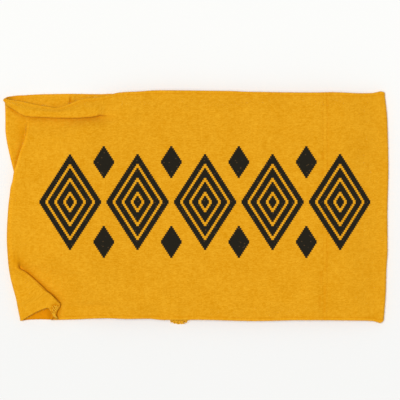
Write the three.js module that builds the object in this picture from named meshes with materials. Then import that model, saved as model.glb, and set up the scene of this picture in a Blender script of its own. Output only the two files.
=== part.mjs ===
// A knitted cloth armband, lying flat: one cloth tube with two open mouths, for an arm to go through.
// X runs across the band from its left side to its right side, Y runs along the arm, and Z is up.
// The back layer lies on the floor plane. The front layer lies over it and leaves the hollow open.
// Four things break the plain tube, and each has its own table or group of sizes:
//   the pleat, where the lower left corner is folded over the front,
//   the tuck, where the left side is pushed in under a fold above the middle,
//   the roll, a wrinkle that hangs over along the upper left mouth,
//   the crease, a pressed line near the right side.
// Every shape is worked out for the middle of the cloth, which is then given its thickness.

import * as THREE from "three";
import { mergeVertices } from "three/addons/utils/BufferGeometryUtils.js";

// Sizes in millimetres, angles in degrees
const CLOTH = 1.0; // thickness of the knitted cloth
const FOLD_RADIUS = 0.75; // radius of a hard fold, at the middle of the cloth
const FLOOR_RADIUS = 0.8; // radius of the left side's bend on the floor
const SLACK_SHARE = 0.3; // share of a full bend's cloth that it takes where it doesn't turn
const LEAST_UNDER = 0.4; // shortest stretch of cloth between two bends
const BACK_LEVEL = CLOTH / 2; // height of the middle of the back layer
const FRONT_LEVEL = 6.9; // height of the middle of the front layer, over the hollow
const RIGHT_LEVEL = 3.2; // height of the front layer where it turns down at the right side
const RIGHT_RAMP = 24; // width over which the front layer comes down to the right side
const LEFT_RAMP = 28; // width over which it comes down to its height near the left side

// The right side's outline, from the lower mouth to the upper one
const RIGHT_SIDE = [
  { y: -57, edge: 93.9 },
  { y: -43, edge: 95.1 },
  { y: -22, edge: 96.0 },
  { y: -4, edge: 95.8 },
  { y: 18, edge: 96.3 },
  { y: 42, edge: 95.8 },
  { y: 57, edge: 94.4 },
];

// The left side turns the cloth over to the floor in two bends that share the half turn.
// fold is the line of the upper bend, with its turn and radius. floor is the line of the bend on the floor,
// which shows beyond the fold above the notch and is hidden under it below. under is the cloth between the
// upper bend and the bend that turns back whatever the two turn beyond a half turn.
const LEFT_SIDE = [
  { y: -57, fold: -87.3, turn: 180, radius: 1.55, under: LEAST_UNDER, floorTurn: 0, floor: -80.0 },
  { y: -52, fold: -88.7, turn: 180, radius: 1.7, under: LEAST_UNDER, floorTurn: 0, floor: -80.0 },
  { y: -46, fold: -90.0, turn: 180, radius: 1.85, under: LEAST_UNDER, floorTurn: 0, floor: -80.0 },
  { y: -40, fold: -91.7, turn: 180, radius: 2.0, under: LEAST_UNDER, floorTurn: 0, floor: -80.0 },
  { y: -34, fold: -93.1, turn: 180, radius: 2.2, under: LEAST_UNDER, floorTurn: 0, floor: -80.0 },
  { y: -28, fold: -93.9, turn: 180, radius: 2.15, under: LEAST_UNDER, floorTurn: 0, floor: -80.0 },
  { y: -16, fold: -94.6, turn: 180, radius: 1.9, under: LEAST_UNDER, floorTurn: 0, floor: -80.0 },
  { y: -1, fold: -93.9, turn: 180, radius: 1.85, under: LEAST_UNDER, floorTurn: 0, floor: -80.0 },
  { y: 5, fold: -93.2, turn: 180, radius: 1.8, under: LEAST_UNDER, floorTurn: 0, floor: -85.0 },
  { y: 9, fold: -92.7, turn: 180, radius: 1.4, under: LEAST_UNDER, floorTurn: 45, floor: -88.0 },
  { y: 13, fold: -91.7, turn: 180, radius: 0.85, under: 0.8, floorTurn: 120, floor: -90.0 },
  { y: 17, fold: -90.9, turn: 180, radius: 0.75, under: 1.2, floorTurn: 180, floor: -91.1 },
  { y: 21, fold: -89.6, turn: 180, radius: 0.75, under: 1.4, floorTurn: 180, floor: -91.8 },
  { y: 27, fold: -87.8, turn: 180, radius: 0.75, under: 1.4, floorTurn: 180, floor: -93.3 },
  { y: 32, fold: -85.8, turn: 140, radius: 0.75, under: 0.8, floorTurn: 180, floor: -94.4 },
  { y: 35, fold: -85.2, turn: 100, radius: 0.75, under: LEAST_UNDER, floorTurn: 180, floor: -94.9 },
  { y: 38, fold: -84.8, turn: 60, radius: 0.75, under: LEAST_UNDER, floorTurn: 180, floor: -95.1 },
  { y: 41, fold: -84.6, turn: 25, radius: 0.75, under: LEAST_UNDER, floorTurn: 180, floor: -95.2 },
  { y: 45, fold: -84.4, turn: 0, radius: 0.75, under: LEAST_UNDER, floorTurn: 180, floor: -95.3 },
  { y: 53, fold: -84.4, turn: 0, radius: 0.75, under: LEAST_UNDER, floorTurn: 180, floor: -96.3 },
  { y: 57, fold: -84.4, turn: 0, radius: 0.75, under: LEAST_UNDER, floorTurn: 180, floor: -95.6 },
];

// The front layer beside the pleat, or where the pleat would be: its height there,
// and how far to the right it keeps that height before it rises over the hollow
const LEFT_FRONT = [
  { y: -57, level: 2.1, flat: 8 },
  { y: -36, level: 2.1, flat: 8 },
  { y: -30, level: 2.3, flat: 6 },
  { y: -26, level: 3.0, flat: 3 },
  { y: -21, level: 3.8, flat: 0 },
  { y: -15, level: 4.2, flat: 0 },
  { y: 5, level: 4.5, flat: 0 },
  { y: 13, level: 5.0, flat: 0 },
  { y: 17, level: 5.1, flat: 0 },
  { y: 27, level: 5.1, flat: 0 },
  { y: 32, level: 5.3, flat: 0 },
  { y: 35, level: 4.7, flat: 3 },
  { y: 38, level: 3.7, flat: 8 },
  { y: 41, level: 2.8, flat: 15 },
  { y: 45, level: 2.1, flat: 22 },
  { y: 57, level: 2.1, flat: 22 },
];

// The pleat steps up from the front layer to the folded corner, which lies over it.
// edge is its fold line, turn is how far each of its bends turns, and under is how far it reaches back.
const PLEAT = [
  { y: -57, edge: -70.4, turn: 180, under: 3.5 },
  { y: -53.5, edge: -69.5, turn: 180, under: 3.7 },
  { y: -50.5, edge: -68.2, turn: 180, under: 3.9 },
  { y: -46, edge: -72.4, turn: 180, under: 3.5 },
  { y: -39, edge: -79.3, turn: 180, under: 2 },
  { y: -35.5, edge: -83.3, turn: 170, under: 1.3 },
  { y: -33.3, edge: -85.9, turn: 148, under: 0.8 },
  { y: -31.7, edge: -88.2, turn: 112, under: 0.8 },
  { y: -30, edge: -87.6, turn: 70, under: 1.4 },
  { y: -28, edge: -87.0, turn: 42, under: 1.8 },
  { y: -25, edge: -87.2, turn: 28, under: 1.6 },
  { y: -22, edge: -88.0, turn: 13, under: 1 },
  { y: -18, edge: -88.6, turn: 3, under: 0.6 },
  { y: -13, edge: -88.4, turn: 0, under: LEAST_UNDER },
  { y: 5, edge: -86.0, turn: 0, under: LEAST_UNDER },
  { y: 15, edge: -83.5, turn: 0, under: LEAST_UNDER },
  { y: 30, edge: -81.5, turn: 0, under: LEAST_UNDER },
  { y: 57, edge: -80.0, turn: 0, under: LEAST_UNDER },
];

// The roll, from the upper left corner to where it fades out. lip is the line where it hangs over,
// and turn and under are as in the pleat.
const ROLL = [
  { x: -97, lip: 49.4, turn: 20, under: LEAST_UNDER },
  { x: -94.5, lip: 49.2, turn: 60, under: LEAST_UNDER },
  { x: -91.5, lip: 48.1, turn: 100, under: LEAST_UNDER },
  { x: -88.5, lip: 46.9, turn: 140, under: LEAST_UNDER },
  { x: -85, lip: 45.4, turn: 170, under: 0.6 },
  { x: -81, lip: 45.1, turn: 180, under: 0.8 },
  { x: -62, lip: 44.5, turn: 180, under: 0.8 },
  { x: -53, lip: 45.0, turn: 170, under: 0.6 },
  { x: -49.5, lip: 45.4, turn: 130, under: LEAST_UNDER },
  { x: -47.5, lip: 44.7, turn: 75, under: LEAST_UNDER },
  { x: -45, lip: 44.4, turn: 30, under: LEAST_UNDER },
  { x: -41.5, lip: 44.4, turn: 8, under: LEAST_UNDER },
  { x: -37, lip: 44.6, turn: 0, under: LEAST_UNDER },
  { x: 97, lip: 45.0, turn: 0, under: LEAST_UNDER },
];
const ROLL_START = 45; // where the roll begins, in rows across the plain tube
const ROLL_MOUTH_RISE = 1.2; // what is left at the mouth of the roll's height over the front layer
const ROLL_FALL_START = 0.25; // how far on the way to the mouth that height begins to fall

// The mouths: where the front and back layers end
const UPPER_MOUTH = [
  { x: -97, front: 54.3, back: 54.3 },
  { x: -95, front: 54.3, back: 54.4 },
  { x: -91, front: 53.5, back: 55.2 },
  { x: -82, front: 52.0, back: 55.8 },
  { x: -70, front: 49.5, back: 56.1 },
  { x: -64, front: 51.3, back: 56.3 },
  { x: -56, front: 54.1, back: 56.2 },
  { x: -48, front: 54.7, back: 56.1 },
  { x: -38, front: 57.0, back: 56.4 },
  { x: -20, front: 58.1, back: 57.4 },
  { x: 16, front: 57.8, back: 57.2 },
  { x: 60, front: 56.9, back: 56.4 },
  { x: 68, front: 57.2, back: 56.6 },
  { x: 84, front: 56.8, back: 56.4 },
  { x: 89, front: 57.1, back: 57.0 },
  { x: 92, front: 57.7, back: 57.6 },
  { x: 95, front: 57.1, back: 57.1 },
];
const LOWER_MOUTH = [
  { x: -97, front: -57.2, back: -57.2 },
  { x: -88, front: -57.2, back: -57.2 },
  { x: -72, front: -56.5, back: -56.6 },
  { x: -44, front: -55.9, back: -55.5 },
  { x: 0, front: -56.7, back: -56.2 },
  { x: 30, front: -57.5, back: -57.0 },
  { x: 56, front: -56.9, back: -56.4 },
  { x: 85, front: -57.1, back: -56.7 },
  { x: 89.3, front: -57.6, back: -57.5 },
  { x: 91.2, front: -58.5, back: -58.4 },
  { x: 92.2, front: -58.75, back: -58.7 },
  { x: 93.2, front: -58.3, back: -58.3 },
  { x: 94.2, front: -57.0, back: -57.0 },
];
// The folded corner's own lower mouth, which arches up between the left side and the pleat
const CORNER_MOUTH = [
  { x: -88, front: -57.4 },
  { x: -83, front: -54.7 },
  { x: -77, front: -51.8 },
  { x: -74, front: -51.0 },
  { x: -71.5, front: -54.6 },
  { x: -68, front: -55.4 },
];
const CORNER_LIFT = 1.2; // how far the top of that arch is lifted off the layer under it
const CORNER_ARCH = 6; // height of the arch that is lifted so far
const MOUTH_FADE = 26; // how far from a mouth its shape still moves the rows of cloth

// The pressed crease
const CREASE_X = 64.7;
const CREASE_HALF_WIDTH = 1.6;
const CREASE_DEPTH = 0.45;

// Rows across the tube below the roll, from the lower mouth up
const ROWS = [
  -57, -54.5, -52, -50.5, -47.5, -44, -41, -38, -36, -34, -32, -30, -28, -26, -23.5, -21, -18, -15, -7, 2, 5, 7,
  9, 11, 13, 15, 17, 19, 22, 25, 28, 30, 32, 33.5, 35, 36.5, 38, 39.5, 41, 43, ROLL_START,
];
// Steps of each stretch of a section, in the order that the section goes round the tube,
// and then those of the roll and of the cloth from there to the mouth
const STEPS = {
  bend: 5,
  rightRun: 3,
  crease: 2,
  middleRun: 3,
  leftRun: 5,
  pleat: { bend: 4, under: 2 },
  cornerRun: 4,
  reach: 3,
  backRun: 4,
  roll: { bend: 4, under: 1 },
  mouthRun: 3,
};
const MIDDLE_END = -36; // where the middle run gives way to the left run

const { clamp, degToRad, lerp, smoothstep } = THREE.MathUtils;

// A value of a table between its rows, without overshooting them.
// by is the column that runs through the table.
function read(table, by, key, at) {
  const last = table.length - 1;
  const place = clamp(at, table[0][by], table[last][by]);
  const i = Math.min(
    last - 1,
    Math.max(0, table.findIndex((row) => row[by] >= place) - 1),
  );
  const slope = (k) => (table[k + 1][key] - table[k][key]) / (table[k + 1][by] - table[k][by]);
  // A row's own slope is the harmonic mean of those beside it, or level where the table turns round
  const tangent = (k) => {
    if (k === 0) return slope(0);
    if (k === last) return slope(last - 1);
    const [before, after] = [slope(k - 1), slope(k)];
    return before * after > 0 ? (2 * before * after) / (before + after) : 0;
  };
  const width = table[i + 1][by] - table[i][by];
  const t = (place - table[i][by]) / width;
  const [t2, t3] = [t * t, t * t * t];
  return (
    (2 * t3 - 3 * t2 + 1) * table[i][key] +
    (t3 - 2 * t2 + t) * width * tangent(i) +
    (3 * t2 - 2 * t3) * table[i + 1][key] +
    (t3 - t2) * width * tangent(i + 1)
  );
}

// The cloth that a bend takes: all of it for a half turn, and less the less it turns
const bendCloth = (turn, radius) => Math.PI * radius * lerp(SLACK_SHARE, 1, Math.abs(turn) / Math.PI);

// A path drawn by heading and distance. along and up are the path's two directions.
class Path {
  constructor(heading) {
    this.at = { along: 0, up: 0, heading };
    this.points = [this.at];
  }

  // Turns by an angle over a length of cloth
  bend(turn, length, steps) {
    const step = turn / steps;
    const chord = (length / steps) * (step ? Math.sin(step / 2) / (step / 2) : 1);
    for (let k = 0; k < steps; k++) this.go(chord, step);
    return this;
  }

  straight(length, steps) {
    for (let k = 0; k < steps; k++) this.go(length / steps, 0);
    return this;
  }

  go(length, turn) {
    const middle = this.at.heading + turn / 2;
    this.at = {
      along: this.at.along + length * Math.cos(middle),
      up: this.at.up + length * Math.sin(middle),
      heading: this.at.heading + turn,
    };
    this.points.push(this.at);
  }
}

// A fold of two opposite bends with cloth between them, as points from its start at 0, 0.
// slant is how much wider than square across its fold line the section cuts it.
function foldPath(heading, turn, under, slant, steps) {
  const cloth = bendCloth(turn, FOLD_RADIUS);
  return new Path(heading)
    .bend(turn, cloth, steps.bend)
    .straight(under, steps.under)
    .bend(-turn, cloth, steps.bend)
    .points.map((p) => ({ ...p, along: p.along * slant }));
}

// How much wider a section cuts a line that runs at a slant, from the line's slope in its table
function slantOf(table, by, key, at) {
  return Math.hypot(1, (read(table, by, key, at + 1) - read(table, by, key, at - 1)) / 2);
}

const least = (points) => Math.min(...points.map((p) => p.along));
const most = (points) => Math.max(...points.map((p) => p.along));

const LEFTWARDS = Math.PI;
const RIGHTWARDS = 0;

// One section across the tube, at a row of the plain tube. It starts at the back layer's right end
// and goes up round the right side, left along the front, down the left side and back along the floor.
// Each point has x, z, and face: 1 on the front layer, 0 on the back layer, and between on the two sides.
// corner is 1 on the folded corner at the lower left, and 0 elsewhere.
function section(y) {
  const points = [];
  const add = (list, face, corner = () => 0) =>
    list.forEach((p, k) => {
      const share = (k + 1) / list.length;
      points.push({ x: p.along, z: p.up, face: face(share, p), corner: corner(share, p) });
    });
  const front = () => 1;
  const moved = (path, along, up) =>
    path.slice(1).map((p) => ({ ...p, along: p.along + along, up: p.up + up }));

  const right = read(RIGHT_SIDE, "y", "edge", y);
  const frontEndLevel = read(LEFT_FRONT, "y", "level", y);
  const flat = read(LEFT_FRONT, "y", "flat", y);

  const pleatTurn = degToRad(read(PLEAT, "y", "turn", y));
  const pleatUnder = read(PLEAT, "y", "under", y);
  const pleat = foldPath(LEFTWARDS, -pleatTurn, pleatUnder, slantOf(PLEAT, "y", "edge", y), STEPS.pleat);
  const pleatStart = read(PLEAT, "y", "edge", y) - most(pleat);
  const cornerStart = pleatStart + pleat.at(-1).along;
  const cornerLevel = frontEndLevel + pleat.at(-1).up;

  // The left side's bends, and the cloth between them that reaches out to the floor's outline
  const upperTurn = degToRad(read(LEFT_SIDE, "y", "turn", y));
  const floorTurn = degToRad(read(LEFT_SIDE, "y", "floorTurn", y));
  const backTurn = upperTurn + floorTurn - Math.PI;
  const upperCloth = bendCloth(upperTurn, read(LEFT_SIDE, "y", "radius", y));
  const side = new Path(LEFTWARDS).bend(upperTurn, upperCloth, STEPS.bend);
  const sideStart = read(LEFT_SIDE, "y", "fold", y) - least(side.points);
  side
    .straight(read(LEFT_SIDE, "y", "under", y), 1)
    .bend(-backTurn, bendCloth(backTurn, FOLD_RADIUS), STEPS.bend);
  const reach = sideStart + side.at.along - FLOOR_RADIUS - read(LEFT_SIDE, "y", "floor", y);
  side
    .straight(Math.max(LEAST_UNDER, reach), STEPS.reach)
    .bend(floorTurn, bendCloth(floorTurn, FLOOR_RADIUS), STEPS.bend);
  const sideLevel = BACK_LEVEL - side.at.up;

  // The right side, a half turn
  const rightRadius = (RIGHT_LEVEL - BACK_LEVEL) / 2;
  const rightStart = right - rightRadius;
  const rightBend = new Path(RIGHTWARDS).bend(Math.PI, Math.PI * rightRadius, STEPS.bend);
  points.push({ x: rightStart, z: BACK_LEVEL, face: 0, corner: 0 });
  add(moved(rightBend.points, rightStart, BACK_LEVEL), (share) => smoothstep(share, 0, 1));

  // The front layer, over the hollow, with the pressed crease across it
  const frontLevel = (x) =>
    FRONT_LEVEL -
    (FRONT_LEVEL - RIGHT_LEVEL) * (1 - smoothstep(rightStart - x, 0, RIGHT_RAMP)) -
    (FRONT_LEVEL - frontEndLevel) * (1 - smoothstep(x - pleatStart, flat, flat + LEFT_RAMP));
  const along = (from, to, steps, level) =>
    Array.from({ length: steps }, (_, k) => {
      const x = lerp(from, to, (k + 1) / steps);
      return { along: x, up: level(x, (k + 1) / steps) };
    });
  add(along(rightStart, CREASE_X + CREASE_HALF_WIDTH, STEPS.rightRun, frontLevel), front);
  add(
    along(
      CREASE_X + CREASE_HALF_WIDTH,
      CREASE_X - CREASE_HALF_WIDTH,
      STEPS.crease,
      (x, share) => frontLevel(x) - CREASE_DEPTH * Math.sin(Math.PI * share),
    ),
    front,
  );
  add(along(CREASE_X - CREASE_HALF_WIDTH, MIDDLE_END, STEPS.middleRun, frontLevel), front);
  add(along(MIDDLE_END, pleatStart, STEPS.leftRun, frontLevel), front);

  // The pleat, the folded corner and the left side
  const asCorner = clamp(pleatTurn / Math.PI, 0, 1);
  add(moved(pleat, pleatStart, frontEndLevel), front, (share) => asCorner * smoothstep(share, 0.35, 0.75));
  const down = (_, share) => lerp(cornerLevel, sideLevel, smoothstep(share, 0, 1));
  add(along(cornerStart, sideStart, STEPS.cornerRun, down), front, () => asCorner);
  const turnedOver = (p) => clamp((p.heading - LEFTWARDS) / Math.PI, 0, 1);
  add(
    moved(side.points, sideStart, sideLevel),
    (_, p) => 1 - turnedOver(p),
    (_, p) => asCorner * (1 - turnedOver(p)),
  );

  // The back layer. Its last point is the section's first one, so it is left out.
  add(along(sideStart + side.at.along, rightStart, STEPS.backRun, () => BACK_LEVEL).slice(0, -1), () => 0);
  return points;
}

// The rows that the sections are taken at: those below the roll, through it, and on to the mouth
function rowPlaces() {
  const rollSteps = 2 * STEPS.roll.bend + STEPS.roll.under;
  const rollEnd = ROLL_START + 2 * bendCloth(0, FOLD_RADIUS) + LEAST_UNDER;
  const top = UPPER_MOUTH.at(-1).back;
  const between = (from, to, steps) =>
    Array.from({ length: steps }, (_, k) => lerp(from, to, (k + 1) / steps));
  return [
    ...ROWS,
    ...between(ROLL_START, rollEnd, rollSteps),
    ...between(rollEnd, top, STEPS.mouthRun),
  ];
}

// The middle of the cloth as a grid of points, grid[row][column]
function clothGrid() {
  const rows = rowPlaces();
  const sections = rows.map(section);
  const lastLow = ROWS.length - 1;
  const columns = sections[0].length;
  const grid = rows.map(() => []);
  for (let i = 0; i < columns; i++) {
    const low = sections[0][i];
    const high = sections[rows.length - 1][i];
    const atRoll = sections[lastLow][i];
    const mouth = (table, p) =>
      lerp(read(table, "x", "back", p.x), read(table, "x", "front", p.x), p.face);
    const lowerMouth = lerp(mouth(LOWER_MOUTH, low), read(CORNER_MOUTH, "x", "front", low.x), low.corner);
    const upperMouth = mouth(UPPER_MOUTH, high);

    // The roll steps up from the front layer and hangs over it. The back layer has none of it.
    const rollTurn = degToRad(read(ROLL, "x", "turn", atRoll.x)) * atRoll.face;
    const rollUnder = lerp(LEAST_UNDER, read(ROLL, "x", "under", atRoll.x), atRoll.face);
    const roll = foldPath(RIGHTWARDS, rollTurn, rollUnder, slantOf(ROLL, "x", "lip", atRoll.x), STEPS.roll);
    const rollStart = read(ROLL, "x", "lip", atRoll.x) - least(roll);
    const rollEnd = rollStart + roll.at(-1).along;

    rows.forEach((y, j) => {
      const { x, z } = sections[j][i];
      if (j <= lastLow) {
        const fade = 1 - smoothstep(y, ROWS[0], ROWS[0] + MOUTH_FADE);
        const near = smoothstep(y, ROLL_START - MOUTH_FADE, ROLL_START);
        const arch = low.corner * CORNER_LIFT * clamp((lowerMouth - ROWS[0]) / CORNER_ARCH, 0, 1);
        const shift = (lowerMouth - ROWS[0]) * fade + (rollStart - ROLL_START) * near;
        grid[j].push([x, y + shift, z + arch * fade * fade]);
        return;
      }
      const k = Math.min(j - lastLow, roll.length - 1);
      const past = (j - lastLow - k) / STEPS.mouthRun;
      const rise = roll[k].up;
      const fall = (rise - Math.min(rise, ROLL_MOUTH_RISE)) * smoothstep(past, ROLL_FALL_START, 1);
      const reached = past > 0 ? lerp(rollEnd, upperMouth, past) : rollStart + roll[k].along;
      grid[j].push([x, reached, z + rise - fall]);
    });
  }
  return grid.map((row) => row.map((p) => new THREE.Vector3(...p)));
}

// The cloth's outward direction at a grid point, from the points beside it
function outward(grid, j, i) {
  const columns = grid[j].length;
  const across = grid[j][(i + 1) % columns].clone().sub(grid[j][(i + columns - 1) % columns]);
  const along = grid[Math.min(j + 1, grid.length - 1)][i].clone().sub(grid[Math.max(j - 1, 0)][i]);
  return along.cross(across).normalize();
}

// The band as one closed shell: an outer face, an inner face, and a rim round each mouth
function bandGeometry() {
  const grid = clothGrid();
  const [rows, columns] = [grid.length, grid[0].length];
  const face = (side) =>
    grid.flatMap((row, j) =>
      row.map((p, i) => p.clone().addScaledVector(outward(grid, j, i), (side * CLOTH) / 2)),
    );
  const points = [...face(1), ...face(-1)];
  const outer = (j, i) => j * columns + (i % columns);
  const inner = (j, i) => rows * columns + outer(j, i);
  const triangles = [];
  const quad = (a, b, c, d) => triangles.push(a, b, c, a, c, d);
  for (let i = 0; i < columns; i++) {
    for (let j = 0; j < rows - 1; j++) {
      quad(outer(j, i), outer(j + 1, i), outer(j + 1, i + 1), outer(j, i + 1));
      quad(inner(j, i), inner(j, i + 1), inner(j + 1, i + 1), inner(j + 1, i));
    }
    quad(inner(0, i), outer(0, i), outer(0, i + 1), inner(0, i + 1));
    quad(outer(rows - 1, i), inner(rows - 1, i), inner(rows - 1, i + 1), outer(rows - 1, i + 1));
  }
  const geometry = new THREE.BufferGeometry();
  const values = points.flatMap((p) => p.toArray());
  geometry.setAttribute("position", new THREE.Float32BufferAttribute(values, 3));
  geometry.setIndex(triangles);
  return mergeVertices(geometry);
}

// Sets the origin on the floor at the middle of the band's box
function centred(geometry) {
  geometry.computeBoundingBox();
  const middle = geometry.boundingBox.getCenter(new THREE.Vector3());
  return geometry.translate(-middle.x, -middle.y, -geometry.boundingBox.min.z);
}

const knittedCloth = new THREE.MeshStandardMaterial({ color: 0xe5a01a, roughness: 0.9, metalness: 0 });

const band = new THREE.Mesh(centred(bandGeometry()), knittedCloth);
band.name = "band";

const armband = new THREE.Group();
armband.add(band);

export default armband;
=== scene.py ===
"""Armband: the looks of a knitted cloth tube that lies flat on a pale surface, seen from straight above.

Sizes are in millimetres and are made metres where a mesh is built. X runs across the band, Y along the arm
and Z up.
"""
import logging
import math
import random
from collections.abc import Callable, Sequence
from dataclasses import dataclass, field
from enum import Enum
from functools import reduce
from itertools import accumulate

import bpy
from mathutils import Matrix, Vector
from mathutils.bvhtree import BVHTree


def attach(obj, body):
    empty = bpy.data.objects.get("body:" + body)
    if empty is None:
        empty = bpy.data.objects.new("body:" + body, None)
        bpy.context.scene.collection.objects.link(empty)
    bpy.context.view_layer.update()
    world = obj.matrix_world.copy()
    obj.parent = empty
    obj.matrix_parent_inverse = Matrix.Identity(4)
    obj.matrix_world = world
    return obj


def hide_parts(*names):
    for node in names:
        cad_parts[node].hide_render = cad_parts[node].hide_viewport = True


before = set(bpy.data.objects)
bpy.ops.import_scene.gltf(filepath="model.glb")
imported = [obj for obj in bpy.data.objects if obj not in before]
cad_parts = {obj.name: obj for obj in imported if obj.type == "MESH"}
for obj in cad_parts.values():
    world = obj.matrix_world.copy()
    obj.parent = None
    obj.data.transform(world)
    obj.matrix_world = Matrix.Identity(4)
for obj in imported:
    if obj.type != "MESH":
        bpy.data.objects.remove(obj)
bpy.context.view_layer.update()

MM = 0.001
BODY = "root"
NODE = "band"
LOG = logging.getLogger("armband")
TINY = 1e-6  # a length that counts as none

Pair = tuple[float, float]
Colour = tuple[float, float, float]
Grid = list[list[Vector]]
Socket = bpy.types.NodeSocket
Value = Socket | float


# Reading tables and drawing paths


def clamp(value: float, low: float, high: float) -> float:
    """Holds a value between two others."""
    return min(high, max(low, value))


def lerp(start: float, end: float, share: float) -> float:
    """A value that is share of the way from start to end."""
    return start + (end - start) * share


def smooth(value: float, low: float, high: float) -> float:
    """0 below low, 1 above high, and a soft step between them."""
    t = clamp((value - low) / (high - low), 0.0, 1.0)
    return t * t * (3 - 2 * t)


@dataclass(frozen=True)
class Table:
    """Rows of sizes under named columns. The first column runs through the table."""

    columns: tuple[str, ...]
    rows: tuple[tuple[float, ...], ...]

    def read(self, key: str, at: float) -> float:
        """Reads a column between the rows without overshooting them.

        Args:
            key: the column's name.
            at: the place in the first column.

        Returns:
            The column's value at that place.
        """
        by = [row[0] for row in self.rows]
        values = [row[self.columns.index(key)] for row in self.rows]
        last = len(by) - 1
        place = clamp(at, by[0], by[last])
        i = min(last - 1, max(0, next(k for k, b in enumerate(by) if b >= place) - 1))

        def slope(k: int) -> float:
            """The slope from row k to the next."""
            return (values[k + 1] - values[k]) / (by[k + 1] - by[k])

        def tangent(k: int) -> float:
            """Row k's own slope: the harmonic mean of those beside it, or level where the table turns round.

            Args:
                k: the row's number.

            Returns:
                The slope there.
            """
            if k in (0, last):
                return slope(min(k, last - 1))
            before, after = slope(k - 1), slope(k)
            return 2 * before * after / (before + after) if before * after > 0 else 0.0

        width = by[i + 1] - by[i]
        t = (place - by[i]) / width
        t2, t3 = t * t, t * t * t
        return (
            (2 * t3 - 3 * t2 + 1) * values[i]
            + (t3 - 2 * t2 + t) * width * tangent(i)
            + (3 * t2 - 2 * t3) * values[i + 1]
            + (t3 - t2) * width * tangent(i + 1)
        )

    def slant(self, key: str, at: float) -> float:
        """How much wider a square cut crosses a line that runs at this column's slope."""
        return math.hypot(1, (self.read(key, at + 1) - self.read(key, at - 1)) / 2)


@dataclass(frozen=True)
class Spot:
    """A point of a path, with the path's heading there."""

    along: float
    up: float
    heading: float


class Path:
    """A path drawn by heading and distance."""

    def __init__(self, heading: float) -> None:
        """Starts at 0, 0 with a heading in radians."""
        self.at = Spot(0.0, 0.0, heading)
        self.spots = [self.at]

    def go(self, length: float, turn: float) -> None:
        """Goes one step, turning on the way.

        Args:
            length: the step's length.
            turn: the angle, in radians.
        """
        middle = self.at.heading + turn / 2
        self.at = Spot(
            self.at.along + length * math.cos(middle),
            self.at.up + length * math.sin(middle),
            self.at.heading + turn,
        )
        self.spots.append(self.at)

    def bend(self, turn: float, length: float, steps: int) -> "Path":
        """Turns by an angle over a length of cloth.

        Args:
            turn: the angle, in radians.
            length: the cloth that the bend takes.
            steps: how many steps it is drawn in.

        Returns:
            The path itself.
        """
        step = turn / steps
        chord = length / steps * (math.sin(step / 2) / (step / 2) if step else 1.0)
        for _ in range(steps):
            self.go(chord, step)
        return self

    def straight(self, length: float, steps: int) -> "Path":
        """Goes straight on.

        Args:
            length: the length.
            steps: how many steps it is drawn in.

        Returns:
            The path itself.
        """
        for _ in range(steps):
            self.go(length / steps, 0.0)
        return self


class Face(Enum):
    """The two faces of the cloth."""

    OUTER = 1
    INNER = -1


Quad = tuple[Face, list[tuple[int, int]]]

@dataclass
class Place:
    """A point of a section across the tube.

    front is 1 on the front layer, 0 on the back layer and between on the two sides. corner is 1 on the folded
    corner.
    """

    x: float
    z: float
    front: float
    corner: float


# The cloth's shape

LEFTWARDS, RIGHTWARDS = math.pi, 0.0
LEAST_UNDER = 0.4  # shortest stretch of cloth between two bends

RIGHT_SIDE = Table(
    ("y", "edge"),
    ((-57, 93.9), (-43, 95.0), (-32, 95.3), (-22, 95.9), (-4, 95.8), (18, 96.3), (42, 95.8), (57, 94.4)),
)
# The upper bend's line, turn and radius, the cloth between the bends, and the bend on the floor
LEFT_SIDE = Table(
    ("y", "fold", "turn", "radius", "under", "floor_turn", "floor"),
    (
        (-57, -87.7, 180, 1.4, 0.4, 0, -80.0),
        (-52, -88.8, 180, 1.7, 0.4, 0, -80.0),
        (-46, -90.0, 180, 1.85, 0.4, 0, -80.0),
        (-40, -91.7, 180, 2.0, 0.4, 0, -80.0),
        (-34, -93.1, 180, 2.2, 0.4, 0, -80.0),
        (-28, -93.9, 180, 2.15, 0.4, 0, -80.0),
        (-16, -94.6, 180, 1.9, 0.4, 0, -80.0),
        (-1, -93.9, 180, 1.85, 0.4, 0, -80.0),
        (5, -93.2, 180, 1.8, 0.4, 0, -85.0),
        (9, -92.7, 180, 1.4, 0.4, 45, -88.0),
        (13, -91.5, 180, 0.85, 0.8, 120, -90.0),
        (17, -90.9, 180, 0.75, 1.2, 180, -91.1),
        (21, -89.6, 180, 0.75, 1.4, 180, -92.1),
        (27, -87.8, 180, 0.75, 1.4, 180, -93.8),
        (32, -85.8, 140, 0.75, 0.8, 180, -95.0),
        (35, -85.2, 100, 0.75, 0.4, 180, -95.4),
        (38, -84.8, 60, 0.75, 0.4, 180, -95.4),
        (41, -84.6, 25, 0.75, 0.4, 180, -95.45),
        (45, -84.4, 0, 0.75, 0.4, 180, -95.55),
        (53, -84.4, 0, 0.75, 0.4, 180, -96.5),
        (57, -84.4, 0, 0.75, 0.4, 180, -95.8),
    ),
)
LEFT_FRONT = Table(
    ("y", "level", "flat"),
    (
        (-57, 2.1, 8), (-36, 2.1, 8), (-32, 2.4, 6), (-28.5, 3.5, 4), (-25, 4.1, 2), (-21, 4.3, 0),
        (-15, 4.3, 0), (5, 4.5, 0), (13, 5.0, 0), (17, 5.1, 0), (27, 5.1, 0), (32, 5.3, 0),
        (35, 4.7, 3), (38, 3.7, 8), (41, 2.8, 15), (45, 2.1, 22), (57, 2.1, 22),
    ),
)
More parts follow.
